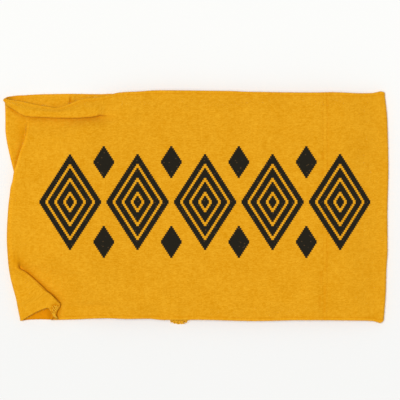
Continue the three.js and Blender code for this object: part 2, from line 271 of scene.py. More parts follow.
PLEAT = Table(
    ("y", "edge", "turn", "under"),
    (
        (-57, -70.9, 180, 0.4), (-54, -70.2, 180, 0.6), (-50.7, -68.5, 180, 1.6), (-46, -72.8, 180, 2.6),
        (-39, -79.5, 180, 2.0), (-35.5, -83.3, 170, 1.3), (-33.3, -85.9, 148, 0.8), (-31.7, -88.2, 112, 0.8),
        (-30.2, -87.8, 64, 1.1), (-28.6, -87.6, 32, 1.2), (-26, -87.9, 14, 1.0), (-22, -88.6, 4, 0.6),
        (-18, -89.2, 0, 0.4), (-13, -88.4, 0, 0.4), (5, -86.0, 0, 0.4), (15, -83.5, 0, 0.4),
        (30, -81.5, 0, 0.4), (57, -80.0, 0, 0.4),
    ),
)
ROLL = Table(
    ("x", "lip", "turn", "under"),
    (
        (-97, 51.0, 20, 0.4), (-94.5, 49.4, 60, 0.4), (-91.5, 48.1, 100, 0.4), (-88.5, 46.9, 140, 0.4),
        (-85, 45.4, 170, 0.6), (-81, 45.1, 180, 0.8), (-62, 44.5, 180, 0.8), (-53, 45.0, 170, 0.6),
        (-49.5, 45.4, 130, 0.4), (-47.5, 44.7, 75, 0.4), (-45, 44.4, 30, 0.4), (-41.5, 44.4, 8, 0.4),
        (-37, 44.6, 0, 0.4), (97, 45.0, 0, 0.4),
    ),
)
UPPER_MOUTH = Table(
    ("x", "front", "back"),
    (
        (-97, 54.2, 54.3), (-95.2, 53.8, 54.9), (-93.5, 53.4, 55.4), (-91, 53.1, 55.6), (-87, 52.4, 55.7),
        (-82, 51.3, 56.1), (-76, 50.2, 56.3), (-70, 49.4, 56.4), (-64, 51.2, 56.5), (-56, 54.1, 56.4),
        (-48, 54.8, 56.3), (-44, 55.6, 56.5), (-38, 57.0, 56.4), (-29, 57.4, 56.8), (-20, 58.0, 57.3),
        (16, 57.7, 57.1), (26, 57.3, 56.8), (60, 56.9, 56.4), (68, 57.1, 56.5), (84, 56.6, 56.2),
        (88, 56.7, 56.5), (90.5, 57.1, 57.0), (92.8, 57.6, 57.5), (95, 57.0, 57.0),
    ),
)
LOWER_MOUTH = Table(
    ("x", "front", "back"),
    (
        (-97, -57.9, -57.9), (-88, -57.9, -57.8), (-84, -57.4, -57.3), (-78, -57.1, -57.1),
        (-70, -57.3, -57.3), (-62, -57.1, -56.9), (-44, -56.4, -56.0), (-34, -56.7, -56.2),
        (-24, -56.6, -56.1), (-16, -57.2, -56.7), (-8, -57.1, -56.6), (0, -57.1, -56.6),
        (30, -57.7, -57.2), (56, -57.3, -56.8), (84, -57.6, -57.2), (89.3, -57.9, -57.8),
        (91.2, -58.5, -58.4), (92.4, -58.85, -58.8), (93.4, -58.4, -58.4), (94.2, -57.0, -57.0),
    ),
)
CORNER_MOUTH = Table(
    ("x", "front"),
    (
        (-88, -58.0), (-83, -54.8), (-77, -51.9), (-74.1, -51.1), (-73.0, -52.5), (-72.0, -54.2),
        (-71.0, -55.8), (-68, -56.2),
    ),
)


@dataclass(frozen=True)
class Steps:
    """How finely each stretch of the cloth is drawn."""

    bend: int = 13
    right_run: int = 24
    crease: int = 12
    middle_run: int = 76
    left_run: int = 42
    pleat_bend: int = 10
    pleat_under: int = 5
    corner_run: int = 28
    side_under: int = 2
    reach: int = 6
    back_left: int = 6
    pucker: int = 14
    back_run: int = 38
    roll_bend: int = 9
    roll_under: int = 3
    mouth_run: int = 10

    @property
    def anchor(self) -> int:
        """The column where the middle run of the front ends."""
        return self.bend + self.right_run + self.crease + self.middle_run

    @property
    def left(self) -> int:
        """The column after the left side's upper bend, where the front ends."""
        pleat = 2 * self.pleat_bend + self.pleat_under
        return self.anchor + self.left_run + pleat + self.corner_run + self.bend


@dataclass
class TubeShape:
    """The middle of the cloth as a grid of points, from one mouth to the other and once round the tube."""

    cloth: float = 1.0
    fold_radius: float = 0.75
    floor_radius: float = 0.8
    slack_share: float = 0.3
    front_level: float = 6.9
    right_level: float = 3.2
    right_ramp: float = 24.0
    left_ramp: float = 28.0
    roll_start: float = 45.0
    roll_mouth_rise: float = 1.2
    roll_fall_start: float = 0.25
    corner_lift: float = 1.2
    corner_arch: float = 6.0
    corner_from: Pair = (0.35, 0.75)
    mouth_fade: float = 26.0
    crease_x: float = 64.7
    crease_half_width: float = 2.0
    crease_depth: float = 0.1
    pucker_x: float = -63.2
    pucker_width: float = 1.3
    pucker_height: float = 0.9
    pucker_reach: tuple[float, float, float] = (50.5, 53.0, 56.0)
    pucker_fall: float = 0.8
    pucker_span: float = 2.5
    low_row: float = -57.0
    row_runs: tuple[tuple[float, int], ...] = ((-50, 8), (-30, 24), (-12, 16), (5, 12), (30, 30), (45, 22))
    top_row: float = 57.0
    middle_end: float = -36.0
    rim: tuple[float, ...] = (0.0, 0.05, 0.17, 0.36, 0.7)
    steps: Steps = field(default_factory=Steps)

    def slack(self, turn: float, radius: float) -> float:
        """The cloth that a bend takes: all of it for a half turn, and less the less it turns."""
        return math.pi * radius * lerp(self.slack_share, 1, abs(turn) / math.pi)

    def fold(
        self, heading: float, turn: float, under: float, slant: float, steps: tuple[int, int]
    ) -> list[Spot]:
        """A fold of two opposite bends with cloth between them.

        Args:
            heading: the heading it starts with.
            turn: how far each bend turns, in radians.
            under: the cloth between the bends.
            slant: how much wider the section cuts it than square across its line.
            steps: the steps of each bend and of the cloth between them.

        Returns:
            The fold's points, from its start at 0, 0.
        """
        cloth = self.slack(turn, self.fold_radius)
        path = Path(heading).bend(turn, cloth, steps[0])
        path.straight(under, steps[1]).bend(-turn, cloth, steps[0])
        return [Spot(s.along * slant, s.up, s.heading) for s in path.spots]

    def section(self, y: float) -> list[Place]:
        """One section across the tube, once round from the back layer's right end.

        Args:
            y: the row of the plain tube.

        Returns:
            The section's points: up the right side, left along the front, down the left side and back on the
            floor.
        """
        n = self.steps
        back_level = self.cloth / 2
        places: list[Place] = []

        def run(
            start: float, end: float, steps: int, level: Callable[[float, float], float], corner: float
        ) -> None:
            """Adds a run of the front layer.

            Args:
                start: where it starts across the tube.
                end: where it ends.
                steps: how many points it gets.
                level: its height at a place and a share of its way.
                corner: how far it belongs to the folded corner.
            """
            for k in range(steps):
                share = (k + 1) / steps
                x = lerp(start, end, share)
                places.append(Place(x, level(x, share), 1.0, corner))

        right = RIGHT_SIDE.read("edge", y)
        end_level = LEFT_FRONT.read("level", y)
        flat = LEFT_FRONT.read("flat", y)
        pleat_turn = math.radians(PLEAT.read("turn", y))
        as_corner = clamp(pleat_turn / math.pi, 0, 1)
        pleat_steps = (n.pleat_bend, n.pleat_under)
        pleat = self.fold(LEFTWARDS, -pleat_turn, PLEAT.read("under", y), PLEAT.slant("edge", y), pleat_steps)
        pleat_start = PLEAT.read("edge", y) - max(s.along for s in pleat)
        corner_start = pleat_start + pleat[-1].along
        corner_level = end_level + pleat[-1].up

        upper_turn = math.radians(LEFT_SIDE.read("turn", y))
        floor_turn = math.radians(LEFT_SIDE.read("floor_turn", y))
        back_turn = upper_turn + floor_turn - math.pi
        side = Path(LEFTWARDS).bend(upper_turn, self.slack(upper_turn, LEFT_SIDE.read("radius", y)), n.bend)
        side_start = LEFT_SIDE.read("fold", y) - min(s.along for s in side.spots)
        side.straight(LEFT_SIDE.read("under", y), n.side_under)
        side.bend(-back_turn, self.slack(back_turn, self.fold_radius), n.bend)
        reach = side_start + side.at.along - self.floor_radius - LEFT_SIDE.read("floor", y)
        side.straight(max(LEAST_UNDER, reach), n.reach)
        side.bend(floor_turn, self.slack(floor_turn, self.floor_radius), n.bend)
        side_level = back_level - side.at.up

        right_radius = (self.right_level - back_level) / 2
        right_start = right - right_radius
        places.append(Place(right_start, back_level, 0.0, 0.0))
        right_bend = Path(RIGHTWARDS).bend(math.pi, math.pi * right_radius, n.bend).spots[1:]
        for k, s in enumerate(right_bend):
            share = smooth((k + 1) / len(right_bend), 0, 1)
            places.append(Place(right_start + s.along, back_level + s.up, share, 0.0))

        def front(x: float, _share: float) -> float:
            """The front layer's height over the hollow.

            Args:
                x: the place across the tube.
                _share: the share of the run's way, which it doesn't depend on.

            Returns:
                The height.
            """
            right_fall = 1 - smooth(right_start - x, 0, self.right_ramp)
            left_fall = 1 - smooth(x - pleat_start, flat, flat + self.left_ramp)
            level = self.front_level - (self.front_level - self.right_level) * right_fall
            return level - (self.front_level - end_level) * left_fall

        def creased(x: float, share: float) -> float:
            """The height across the two pressed creases."""
            return front(x, share) - self.crease_depth * math.sin(2 * math.pi * share) ** 2

        crease_right = self.crease_x + self.crease_half_width
        crease_left = self.crease_x - self.crease_half_width
        run(right_start, crease_right, n.right_run, front, 0.0)
        run(crease_right, crease_left, n.crease, creased, 0.0)
        run(crease_left, self.middle_end, n.middle_run, front, 0.0)
        run(self.middle_end, pleat_start, n.left_run, front, 0.0)
        for k, s in enumerate(pleat[1:]):
            share = as_corner * smooth((k + 1) / (len(pleat) - 1), *self.corner_from)
            places.append(Place(pleat_start + s.along, end_level + s.up, 1.0, share))
        run(
            corner_start, side_start, n.corner_run,
            lambda _x, share: lerp(corner_level, side_level, smooth(share, 0, 1)), as_corner,
        )
        for s in side.spots[1:]:
            front_share = 1 - clamp((s.heading - LEFTWARDS) / math.pi, 0, 1)
            x, z = side_start + s.along, side_level + s.up
            places.append(Place(x, z, front_share, as_corner * front_share))
        half_pucker = self.pucker_span * self.pucker_width
        left_of, right_of = self.pucker_x - half_pucker, self.pucker_x + half_pucker
        back = ((side_start + side.at.along, left_of, n.back_left), (left_of, right_of, n.pucker))
        for start, end, steps in (*back, (right_of, right_start, n.back_run)):
            for k in range(steps):
                places.append(Place(lerp(start, end, (k + 1) / steps), back_level, 0.0, 0.0))
        return places[:-1]

    def pucker(self, x: float, y: float) -> float:
        """The height of the small pucker in the back layer, in the dip of the upper mouth.

        Args:
            x: the place across the tube.
            y: the place along it.

        Returns:
            The height.
        """
        across = ((x - self.pucker_x) / self.pucker_width) ** 2
        start, full, end = self.pucker_reach
        share = smooth(y, start, full) * (1 - self.pucker_fall * smooth(y, full, end))
        return self.pucker_height * across * math.exp(1 - across) * share

    def rows(self) -> list[float]:
        """The rows of the plain tube below the roll, finest where the cloth folds.

        Returns:
            Their places along the tube.
        """
        made = [self.low_row + r for r in self.rim]
        start = made[-1]
        for end, steps in self.row_runs:
            made += [lerp(start, end, (k + 1) / steps) for k in range(steps)]
            start = end
        return made

    def grid(self) -> Grid:
        """Works out the cloth's middle.

        Returns:
            The points in millimetres, as grid[row][column].
        """
        n = self.steps
        low_rows = self.rows()
        last_low = len(low_rows) - 1
        roll_steps = 2 * n.roll_bend + n.roll_under
        roll_end_row = self.roll_start + 2 * self.slack(0, self.fold_radius) + LEAST_UNDER
        high_rows = [lerp(self.roll_start, roll_end_row, (k + 1) / roll_steps) for k in range(roll_steps)]
        high_rows += [lerp(roll_end_row, self.top_row, (k + 1) / n.mouth_run) for k in range(n.mouth_run)]
        high_rows += [self.top_row] * (len(self.rim) - 1)
        rows = low_rows + high_rows
        sections = [self.section(y) for y in rows]
        grid: Grid = [[] for _ in rows]
        for i, (low, at_roll, high) in enumerate(zip(sections[0], sections[last_low], sections[-1])):
            lower = lerp(LOWER_MOUTH.read("back", low.x), LOWER_MOUTH.read("front", low.x), low.front)
            lower = lerp(lower, CORNER_MOUTH.read("front", low.x), low.corner)
            upper = lerp(UPPER_MOUTH.read("back", high.x), UPPER_MOUTH.read("front", high.x), high.front)
            turn = math.radians(ROLL.read("turn", at_roll.x)) * at_roll.front
            under = lerp(LEAST_UNDER, ROLL.read("under", at_roll.x), at_roll.front)
            slant = ROLL.slant("lip", at_roll.x)
            roll = self.fold(RIGHTWARDS, turn, under, slant, (n.roll_bend, n.roll_under))
            roll_start = ROLL.read("lip", at_roll.x) - min(s.along for s in roll)
            roll_end = roll_start + roll[-1].along
            rise = roll[-1].up
            run_top = upper - self.rim[-1]
            for j, y in enumerate(rows):
                place = sections[j][i]
                if j <= last_low:
                    fade = 1 - smooth(y, self.low_row, self.low_row + self.mouth_fade)
                    near = smooth(y, self.roll_start - self.mouth_fade, self.roll_start)
                    arched = clamp((lower - self.low_row) / self.corner_arch, 0, 1)
                    arch = low.corner * self.corner_lift * arched
                    moved = (lower - self.low_row) * fade + (roll_start - self.roll_start) * near
                    grid[j].append(Vector((place.x, y + moved, place.z + arch * fade * fade)))
                elif j - last_low < len(roll):
                    spot = roll[j - last_low]
                    grid[j].append(Vector((place.x, roll_start + spot.along, place.z + spot.up)))
                else:
                    k = j - last_low - roll_steps
                    past = min(1.0, k / n.mouth_run)
                    fall = (rise - min(rise, self.roll_mouth_rise)) * smooth(past, self.roll_fall_start, 1)
                    at = lerp(roll_end, run_top, past)
                    if k > n.mouth_run:
                        at = upper - self.rim[len(self.rim) - 1 - (k - n.mouth_run)]
                    pucker = (1 - high.front) * self.pucker(place.x, at)
                    grid[j].append(Vector((place.x, at, place.z + rise - fall + pucker)))
        return grid


# Meshes


@dataclass
class MeshParts:
    """Vertices and faces that are gathered for one mesh."""

    points: list[Vector] = field(default_factory=list)
    faces: list[tuple[int, ...]] = field(default_factory=list)

    def tube(self, path: Sequence[Vector], radius: Callable[[float], float], sides: int) -> None:
        """Adds a round strand with closed ends.

        Args:
            path: the points of its middle.
            radius: its radius at a share of its way.
            sides: the number of sides.
        """
        start = len(self.points)
        ahead = (path[1] - path[0]).normalized()
        across = ahead.orthogonal().normalized()
        for k, p in enumerate(path):
            ahead = (path[min(k + 1, len(path) - 1)] - path[max(k - 1, 0)]).normalized()
            across = (across - ahead * across.dot(ahead)).normalized()
            side = ahead.cross(across)
            r = radius(k / (len(path) - 1))
            for s in range(sides):
                turn = 2 * math.pi * s / sides
                self.points.append(p + (across * math.cos(turn) + side * math.sin(turn)) * r)
        for k in range(len(path) - 1):
            for s in range(sides):
                a, b = start + k * sides + s, start + k * sides + (s + 1) % sides
                self.faces.append((a, b, b + sides, a + sides))
        self.faces.append(tuple(start + s for s in reversed(range(sides))))
        self.faces.append(tuple(start + (len(path) - 1) * sides + s for s in range(sides)))

    def build(self, name: str) -> bpy.types.Object:
        """Makes the object, in metres and smooth shaded, and puts it in the scene.

        Args:
            name: the object's name.

        Returns:
            The object.
        """
        mesh = bpy.data.meshes.new(name)
        mesh.from_pydata([p * MM for p in self.points], [], self.faces)
        mesh.shade_smooth()
        made = bpy.data.objects.new(name, mesh)
        bpy.context.scene.collection.objects.link(made)
        return made


SHELTER_LIFT = 0.06  # how far off the surface each ray starts
SHELTER_RAYS = ((0.35, 7), (0.8, 5))  # rays' angles above the surface in radians, with the number at each


def store_shelter(reaches: dict[bpy.types.Object, float]) -> None:
    """Stores how closely cloth and yarn stand over each point of the pieces, for painted shade: 0 in the
    open, 1 deep in a fold.

    Args:
        reaches: the pieces, with how far each looks in millimetres.
    """
    points: list[Vector] = []
    faces: list[list[int]] = []
    for piece in reaches:
        faces += [[len(points) + k for k in p.vertices] for p in piece.data.polygons]
        points += [v.co for v in piece.data.vertices]
    cloth = BVHTree.FromPolygons(points, faces)
    rays = sum(count for _, count in SHELTER_RAYS)
    for piece, reach in reaches.items():
        values = []
        for vertex in piece.data.vertices:
            normal = vertex.normal
            side = normal.orthogonal().normalized()
            other = normal.cross(side)
            start = vertex.co + normal * (SHELTER_LIFT * MM)
            closed = 0.0
            for rise, count in SHELTER_RAYS:
                for k in range(count):
                    turn = 2 * math.pi * (k + rise) / count
                    level = side * math.cos(turn) + other * math.sin(turn)
                    ray = (level * math.cos(rise) + normal * math.sin(rise)).normalized()
                    distance = cloth.ray_cast(start, ray, reach * MM)[3]
                    closed += 0.0 if distance is None else 1 - distance / (reach * MM)
            values.append(closed / rays)
        piece.data.attributes.new("shelter", "FLOAT", "POINT").data.foreach_set("value", values)


# Finishes

LINE_CORE = 0.3  # share of a line's half width within which it is at its strongest
GOLDEN_LIGHT = (1.0, 0.66, 0.06, 1.0)  # tint of what the golden fibres reflect


class Graph:
    """A material's nodes, with short ways to add to them."""

    def __init__(self, name: str) -> None:
        """Starts a material with one Principled shader.

        Args:
            name: the material's name.
        """
        self.material = bpy.data.materials.new(name)
        self.material.use_nodes = True
        self.nodes, self.links = self.material.node_tree.nodes, self.material.node_tree.links
        self.shader = self.nodes["Principled BSDF"]

    def set(self, socket: Socket, value: object) -> None:
        """Links a socket to another, or gives it a value.

        Args:
            socket: the socket.
            value: the other socket, or the value.
        """
        if isinstance(value, Socket):
            self.links.new(value, socket)
        else:
            socket.default_value = value

    def add(self, kind: str, inputs: dict[str, object], **settings: object) -> bpy.types.Node:
        """Adds a node.

        Args:
            kind: the node's type.
            inputs: values and sockets for its inputs, by name or place.
            settings: its own settings.

        Returns:
            The node.
        """
        node = self.nodes.new(kind)
        for key, value in settings.items():
            setattr(node, key, value)
        for key, value in inputs.items():
            self.set(node.inputs[int(key) if key.isdigit() else key], value)
        return node

    def give(self, values: dict[str, object]) -> None:
        """Links or sets the shader's own inputs, by name."""
        for name, value in values.items():
            self.set(self.shader.inputs[name], value)

    def math(self, operation: str, *values: Value, clamped: bool = False) -> Socket:
        """The result of one Math node."""
        inputs = {str(k): value for k, value in enumerate(values)}
        return self.add("ShaderNodeMath", inputs, operation=operation, use_clamp=clamped).outputs[0]

    def scaled(self, value: Value, by: float, plus: float) -> Socket:
        """A value times one number, plus another."""
        return self.math("MULTIPLY_ADD", value, by, plus)

    def around(self, value: Value, amount: float) -> Socket:
        """Turns a value from 0 to 1 into a factor from 1 - amount to 1 + amount."""
        return self.scaled(value, 2 * amount, 1 - amount)

    def raised(self, value: Value, amount: float) -> Socket:
        """Turns a value from 0 to 1 into a factor from 1 to 1 + amount."""
        return self.scaled(value, amount, 1.0)

    def rest(self, value: Value) -> Socket:
        """What a value leaves of 1."""
        return self.math("SUBTRACT", 1.0, value)

    def times(self, *values: Value) -> Socket:
        """The product of several values."""
        return reduce(lambda a, b: self.math("MULTIPLY", a, b), values)

    def total(self, *values: Value) -> Socket:
        """The sum of several values."""
        return reduce(lambda a, b: self.math("ADD", a, b), values)

    def highest(self, *values: Value) -> Socket:
        """The greatest of several values."""
        return reduce(lambda a, b: self.math("MAXIMUM", a, b), values)

    def held(self, value: Value, limit: float) -> Socket:
        """Holds a value between -limit and limit."""
        return self.math("MINIMUM", self.math("MAXIMUM", value, -limit), limit)

    def distance(self, value: Value, at: Value) -> Socket:
        """How far a value is from another, to either side."""
        return self.math("ABSOLUTE", self.math("SUBTRACT", value, at))

    def cell(self, value: Value, size: float) -> Socket:
        """The number of the cell of a given size that a value is in."""
        return self.math("FLOOR", self.math("DIVIDE", value, size))

    def step(self, value: Value, low: float, high: float) -> Socket:
        """0 below low, 1 above high and a soft step between. low may be the greater, which turns it round."""
        inputs = {"Value": value, "From Min": low, "From Max": high}
        return self.add("ShaderNodeMapRange", inputs, interpolation_type="SMOOTHSTEP").outputs["Result"]

    def line(self, value: Value, at: float, half_width: float) -> Socket:
        """1 where a coordinate is at a place, and 0 past half_width to either side."""
        return self.step(self.distance(value, at), half_width, half_width * LINE_CORE)

    def attribute(self, name: str) -> Socket:
        """A value that the mesh stores at its points."""
        return self.add("ShaderNodeAttribute", {}, attribute_name=name).outputs["Fac"]

    def noise(self, place: Socket, scale: float, detail: float = 2.0, stretch: Pair | None = None) -> Socket:
        """Noise between 0 and 1, with its middle at a half.

        Args:
            place: the coordinates.
            scale: how many of its cells fit in one unit.
            detail: how many finer layers it has.
            stretch: factors for the first two coordinates, or None to leave them.

        Returns:
            The noise's socket.
        """
        if stretch is not None:
            place = self.add("ShaderNodeMapping", {"Vector": place, "Scale": (*stretch, 1.0)}).outputs[0]
        inputs = {"Vector": place, "Scale": scale, "Detail": detail}
        return self.add("ShaderNodeTexNoise", inputs).outputs["Fac"]

    def mix(self, share: Value, first: Socket | Colour, second: Socket | Colour) -> Socket:
        """A colour between two.

        Args:
            share: how much there is of the second colour.
            first: one colour.
            second: the other.

        Returns:
            The colour's socket.
        """
        made = self.add("ShaderNodeMix", {}, data_type="RGBA")
        for key, value in (("Factor", share), ("A", first), ("B", second)):
            socket = next(s for s in made.inputs if s.name == key and s.enabled)
            self.set(socket, (*value, 1.0) if isinstance(value, tuple) else value)
        return next(s for s in made.outputs if s.enabled)

    def shade(self, colour: Socket, factor: Value) -> Socket:
        """A colour made lighter or darker by a factor."""
        made = self.add("ShaderNodeVectorMath", {"0": colour, "Scale": factor}, operation="SCALE")
        return made.outputs["Vector"]

    def bump(self, height: Value, strength: float, distance: float) -> Socket:
        """The normal of a surface with small heights, whose distance is in millimetres."""
        inputs = {"Strength": strength, "Distance": distance * MM, "Height": height}
        return self.add("ShaderNodeBump", inputs).outputs[0]


@dataclass(frozen=True)
class LozengeChain:
    """The knitted-in figure: a chain of stepped lozenges, one inside another, with small ones between."""

    count: int = 5
    centre: Pair = (4.6, 2.0)
    step: Pair = (0.65, 1.0)
    rings: int = 24
    pitch: float = 33.8
    light_every: int = 7
    light_width: int = 2
    light_first: int = 3
    small_rings: int = 8
    small_offset: float = 20.0

    def ring(self, g: Graph, across: Value, along: Value) -> Socket:
        """Counts the steps from a lozenge's middle, from its two distances."""
        return g.total(g.cell(across, self.step[0]), g.cell(along, self.step[1]))

    def mask(self, g: Graph, u: Socket, v: Socket) -> Socket:
        """1 where the figure's yarn shows.

        Args:
            g: the material's graph.
            u: the cloth's coordinate across, in millimetres.
            v: the cloth's coordinate along.

        Returns:
            The mask's socket.
        """
        x, up = g.math("SUBTRACT", u, self.centre[0]), g.distance(v, self.centre[1])
        reach = (self.count - 1) / 2
        nearest = g.held(g.math("ROUND", g.math("DIVIDE", x, self.pitch)), reach)
        ring = self.ring(g, g.distance(x, g.times(nearest, self.pitch)), up)
        counted = g.total(ring, self.light_every - self.light_first)
        light = g.math("LESS_THAN", g.math("MODULO", counted, self.light_every), self.light_width - 0.5)
        large = g.times(g.math("LESS_THAN", ring, self.rings - 0.5), g.rest(light))
        between = g.held(g.total(g.cell(x, self.pitch), 0.5), reach - 0.5)
        ring = self.ring(g, g.distance(x, g.times(between, self.pitch)), g.distance(up, self.small_offset))
        return g.highest(large, g.math("LESS_THAN", ring, self.small_rings - 0.5))


@dataclass(frozen=True)
class Grain:
    """A layer of noise on the cloth.

    shade is how much it moves the cloth's shade. limits are those of its soft step, and tint is how much of
    the deeper colour the step gives, with what is added to that.
    """

    scale: float
    detail: float = 2.0
    stretch: Pair | None = None
    shade: float = 0.0
    limits: Pair = (0.3, 0.7)
    tint: Pair | None = None

    def node(self, g: Graph, cloth: Socket) -> Socket:
        """The layer's noise over the cloth's coordinates."""
        return g.noise(cloth, self.scale, self.detail, self.stretch)


@dataclass(frozen=True)
class KnittedCloth:
    """The knitted cloth: golden yarn with the figure in black yarn.

    Most pairs are the limits of a soft step, in the map's millimetres or in shares. A shade lightens the
    yarn, or darkens it below 0. What deepens brings in the colour of painted shade and of the darker thread,
    and what lifts painted shade keeps it off.
    """

    golden: Colour = (0.815, 0.388, 0.0172)
    deep: Colour = (0.702, 0.290, 0.0040)
    # painted bounce light: the warmer orange of the shaded inside under the folded corner's arch and at the
    # upper mouth's corner
    glowing: Colour = (0.755, 0.256, 0.0006)
    # painted shade: the dimmer colour of the soft dips past the folds' ends
    dimmed: Colour = (0.69, 0.270, 0.0015)
    # painted shade: the colour of the shade deep in folds, in their hollows and along the creases, and of the
    # darker thread of the seam and the hem line
    folded_in: Colour = (0.69, 0.240, 0.0004)
    black: Colour = (0.0070, 0.0085, 0.0105)
    fleck: Colour = (0.105, 0.062, 0.03)
    wale: float = 0.65
    course: float = 0.5
    leg_slant: float = 1.8
    leg_height: Pair = (0.25, 0.75)
    mottle: Grain = Grain(0.085, detail=3.0, shade=-0.01, limits=(0.35, 0.7), tint=(0.2, 0.0))
    blotch: Grain = Grain(0.42, shade=-0.01, tint=(0.25, 0.0))
    streaks: Grain = Grain(0.9, stretch=(0.12, 1.0), shade=0.03)
    ticks: Grain = Grain(1.1, detail=1.0, stretch=(0.28, 1.7), shade=-0.01, tint=(0.36, -0.08))
    wales: Grain = Grain(0.8, stretch=(1.0, 0.05), shade=0.03)
    fuzz: Grain = Grain(3.1, detail=3.0, shade=0.08)
    stitch_shade: float = -0.01
    stitch_tint: Pair = (0.6, -0.12)
    # painted shade between the stitches' legs, darker where the stitch is low
    height_shade: Pair = (0.18, 0.895)

    # painted shade along the two pressed creases, broken, and a faint band of painted shade round them; the
    # mesh's grooves there are shallow
    crease_u: Pair = (63.5, 66.0)
    crease_lean: Pair = (18.0, 0.05)
    crease_width: float = 1.1
    crease_gaps: tuple[Pair, Pair] = ((0.45, 0.6), (0.62, 0.42))
    crease_deepens: float = 0.34
    crease_band: float = 5.0
    crease_band_shade: float = -0.015
    gaps: Grain = Grain(0.5, stretch=(0.15, 0.45))
    thread: float = 0.55
    seam_u: float = -67.4
    seam_reach: tuple[Pair, Pair] = ((-31, -24), (21, 17))
    seam_deepens: float = 0.5
    dashes: Grain = Grain(0.55, stretch=(0.0, 1.0), limits=(0.5, 0.6))
    hem_at: float = 1.6
    hem_from: Pair = (-76.0, -64.0)
    hem_gaps: Pair = (0.28, 0.48)
    hem_deepens: float = 0.40
    hem_band: Pair = (1.4, 1.1)
    hem_band_gaps: Pair = (0.4, 0.6)
    hem_band_shade: float = 0.05

    # painted highlight on the outer crests of the folds
    crest_shade: float = 0.10
    # painted shade in the hollows of the folds
    hollow_deepens: float = 0.4
    # painted light: the cloth's left part is a little lighter
    left: Pair = (-50.0, -78.0)
    left_shade: float = 0.03
    # the inside under the folded corner's arch: painted bounce light, and painted shade on the fold's crest
    # there
    arch: Pair = (-44.0, -50.0)
    arch_glow: float = 0.8
    # painted shadow along the hem of the inside under the arch
    rim: Pair = (1.3, 0.3)
    rim_shade: float = -0.12
    # the inside at the upper mouth's corner: painted bounce light, and most of the painted fold shade lifted
    mouth_corner: tuple[Pair, Pair] = ((49.0, 52.0), (-116.0, -104.0))
    mouth_corner_glow: float = 0.35
    mouth_corner_opens: float = -0.75
    # on the outside under the roll, most of the painted fold shade is lifted
    under_roll: tuple[Pair, Pair] = ((36.0, 41.0), (-96.0, -88.0))
    under_roll_opens: float = -0.65
    # the soft dips past the folds' ends: painted shade in a dimmer colour, the sharper painted fold shade
    # lifted, and painted light where the real shade over them is deep
    dent_share: float = 0.78
    dent_shade: float = -0.01
    dent_opens: Pair = (0.75, 0.15)
    dent_shelter: Pair = (0.2, 0.55)
    dent_shelter_shade: float = 0.5
    # painted shade deep in folds, where the stored shelter is high
    shelter_hides: Pair = (0.05, 0.38)
    # a fainter painted shade spread wider round the folds, from the stored shelter
    shelter_dims: Pair = (0.0, 0.2)
    shelter_shade: float = -0.08

    fleck_limits: Pair = (0.965, 0.99)
    fleck_share: float = 0.5
    black_fuzz: float = 0.5
    roughness: Pair = (0.16, 0.80)
    relief: Pair = (0.8, 0.5)
    bump: Pair = (0.55, 0.12)
    specular: float = 0.25
    sheen: float = 0.25
    sheen_roughness: float = 0.5
    figure: LozengeChain = field(default_factory=LozengeChain)

    def stitches(self, g: Graph, u: Socket, v: Socket) -> Socket:
        """The height of the stitches, whose legs slant up and out from the middle of each wale.

        Args:
            g: the material's graph.
            u: the cloth's coordinate across, in millimetres.
            v: the cloth's coordinate along.

        Returns:
            The height's socket, from 0 to 1.
        """
        off_middle = g.distance(g.math("FRACT", g.math("DIVIDE", u, self.wale)), 0.5)
        across = g.rest(g.math("POWER", g.math("ABSOLUTE", g.scaled(off_middle, 4.0, -1.0)), 2.0))
        phase = g.math("SUBTRACT", g.math("DIVIDE", v, self.course), g.times(off_middle, self.leg_slant))
        return g.times(across, g.scaled(g.math("COSINE", g.times(phase, 2 * math.pi)), *self.leg_height))

    def creases(self, g: Graph, cloth: Socket, u: Socket, v: Socket) -> tuple[Socket, Socket]:
        """The two broken lines of painted shade along the pressed creases, and the band of painted shade
        round them.

        Args:
            g: the material's graph.
            cloth: the cloth's coordinates.
            u: the coordinate across, in millimetres.
            v: the coordinate along.

        Returns:
            The sockets of the lines and of the band.
        """
        bent_at, lean = self.crease_lean
        u = g.math("SUBTRACT", u, g.times(g.math("MINIMUM", g.total(v, bent_at), 0.0), lean))
        gaps = self.gaps.node(g, cloth)
        lines = (
            g.times(g.line(u, at, self.crease_width), g.step(gaps, *limits))
            for at, limits in zip(self.crease_u, self.crease_gaps)
        )
        return g.highest(*lines), g.line(u, sum(self.crease_u) / 2, self.crease_band)

    def material(self) -> bpy.types.Material:
        """Builds the cloth's material.

        Returns:
            The material.
        """
        g = Graph("knitted_cloth")
        cloth = g.add("ShaderNodeUVMap", {}, uv_map="Cloth").outputs["UV"]
        parts = g.add("ShaderNodeSeparateXYZ", {"0": cloth}).outputs
        u, v = parts["X"], parts["Y"]
        stored = ("inside", "hem", "fold", "dent", "shelter")
        inside, hem, fold, dent, shelter = (g.attribute(name) for name in stored)
        outside = g.rest(inside)
        height = self.stitches(g, u, v)
        grains = (self.mottle, self.blotch, self.streaks, self.ticks, self.wales)
        layers = [grain.node(g, cloth) for grain in grains]
        _, blotch, _, ticks, _ = layers
        fuzz = self.fuzz.node(g, cloth)
        cell = {"0": g.cell(u, self.wale), "1": g.cell(v, self.course)}
        place = g.add("ShaderNodeCombineXYZ", cell).outputs[0]
        stitch = g.add("ShaderNodeTexWhiteNoise", {"Vector": place}, noise_dimensions="2D").outputs["Value"]

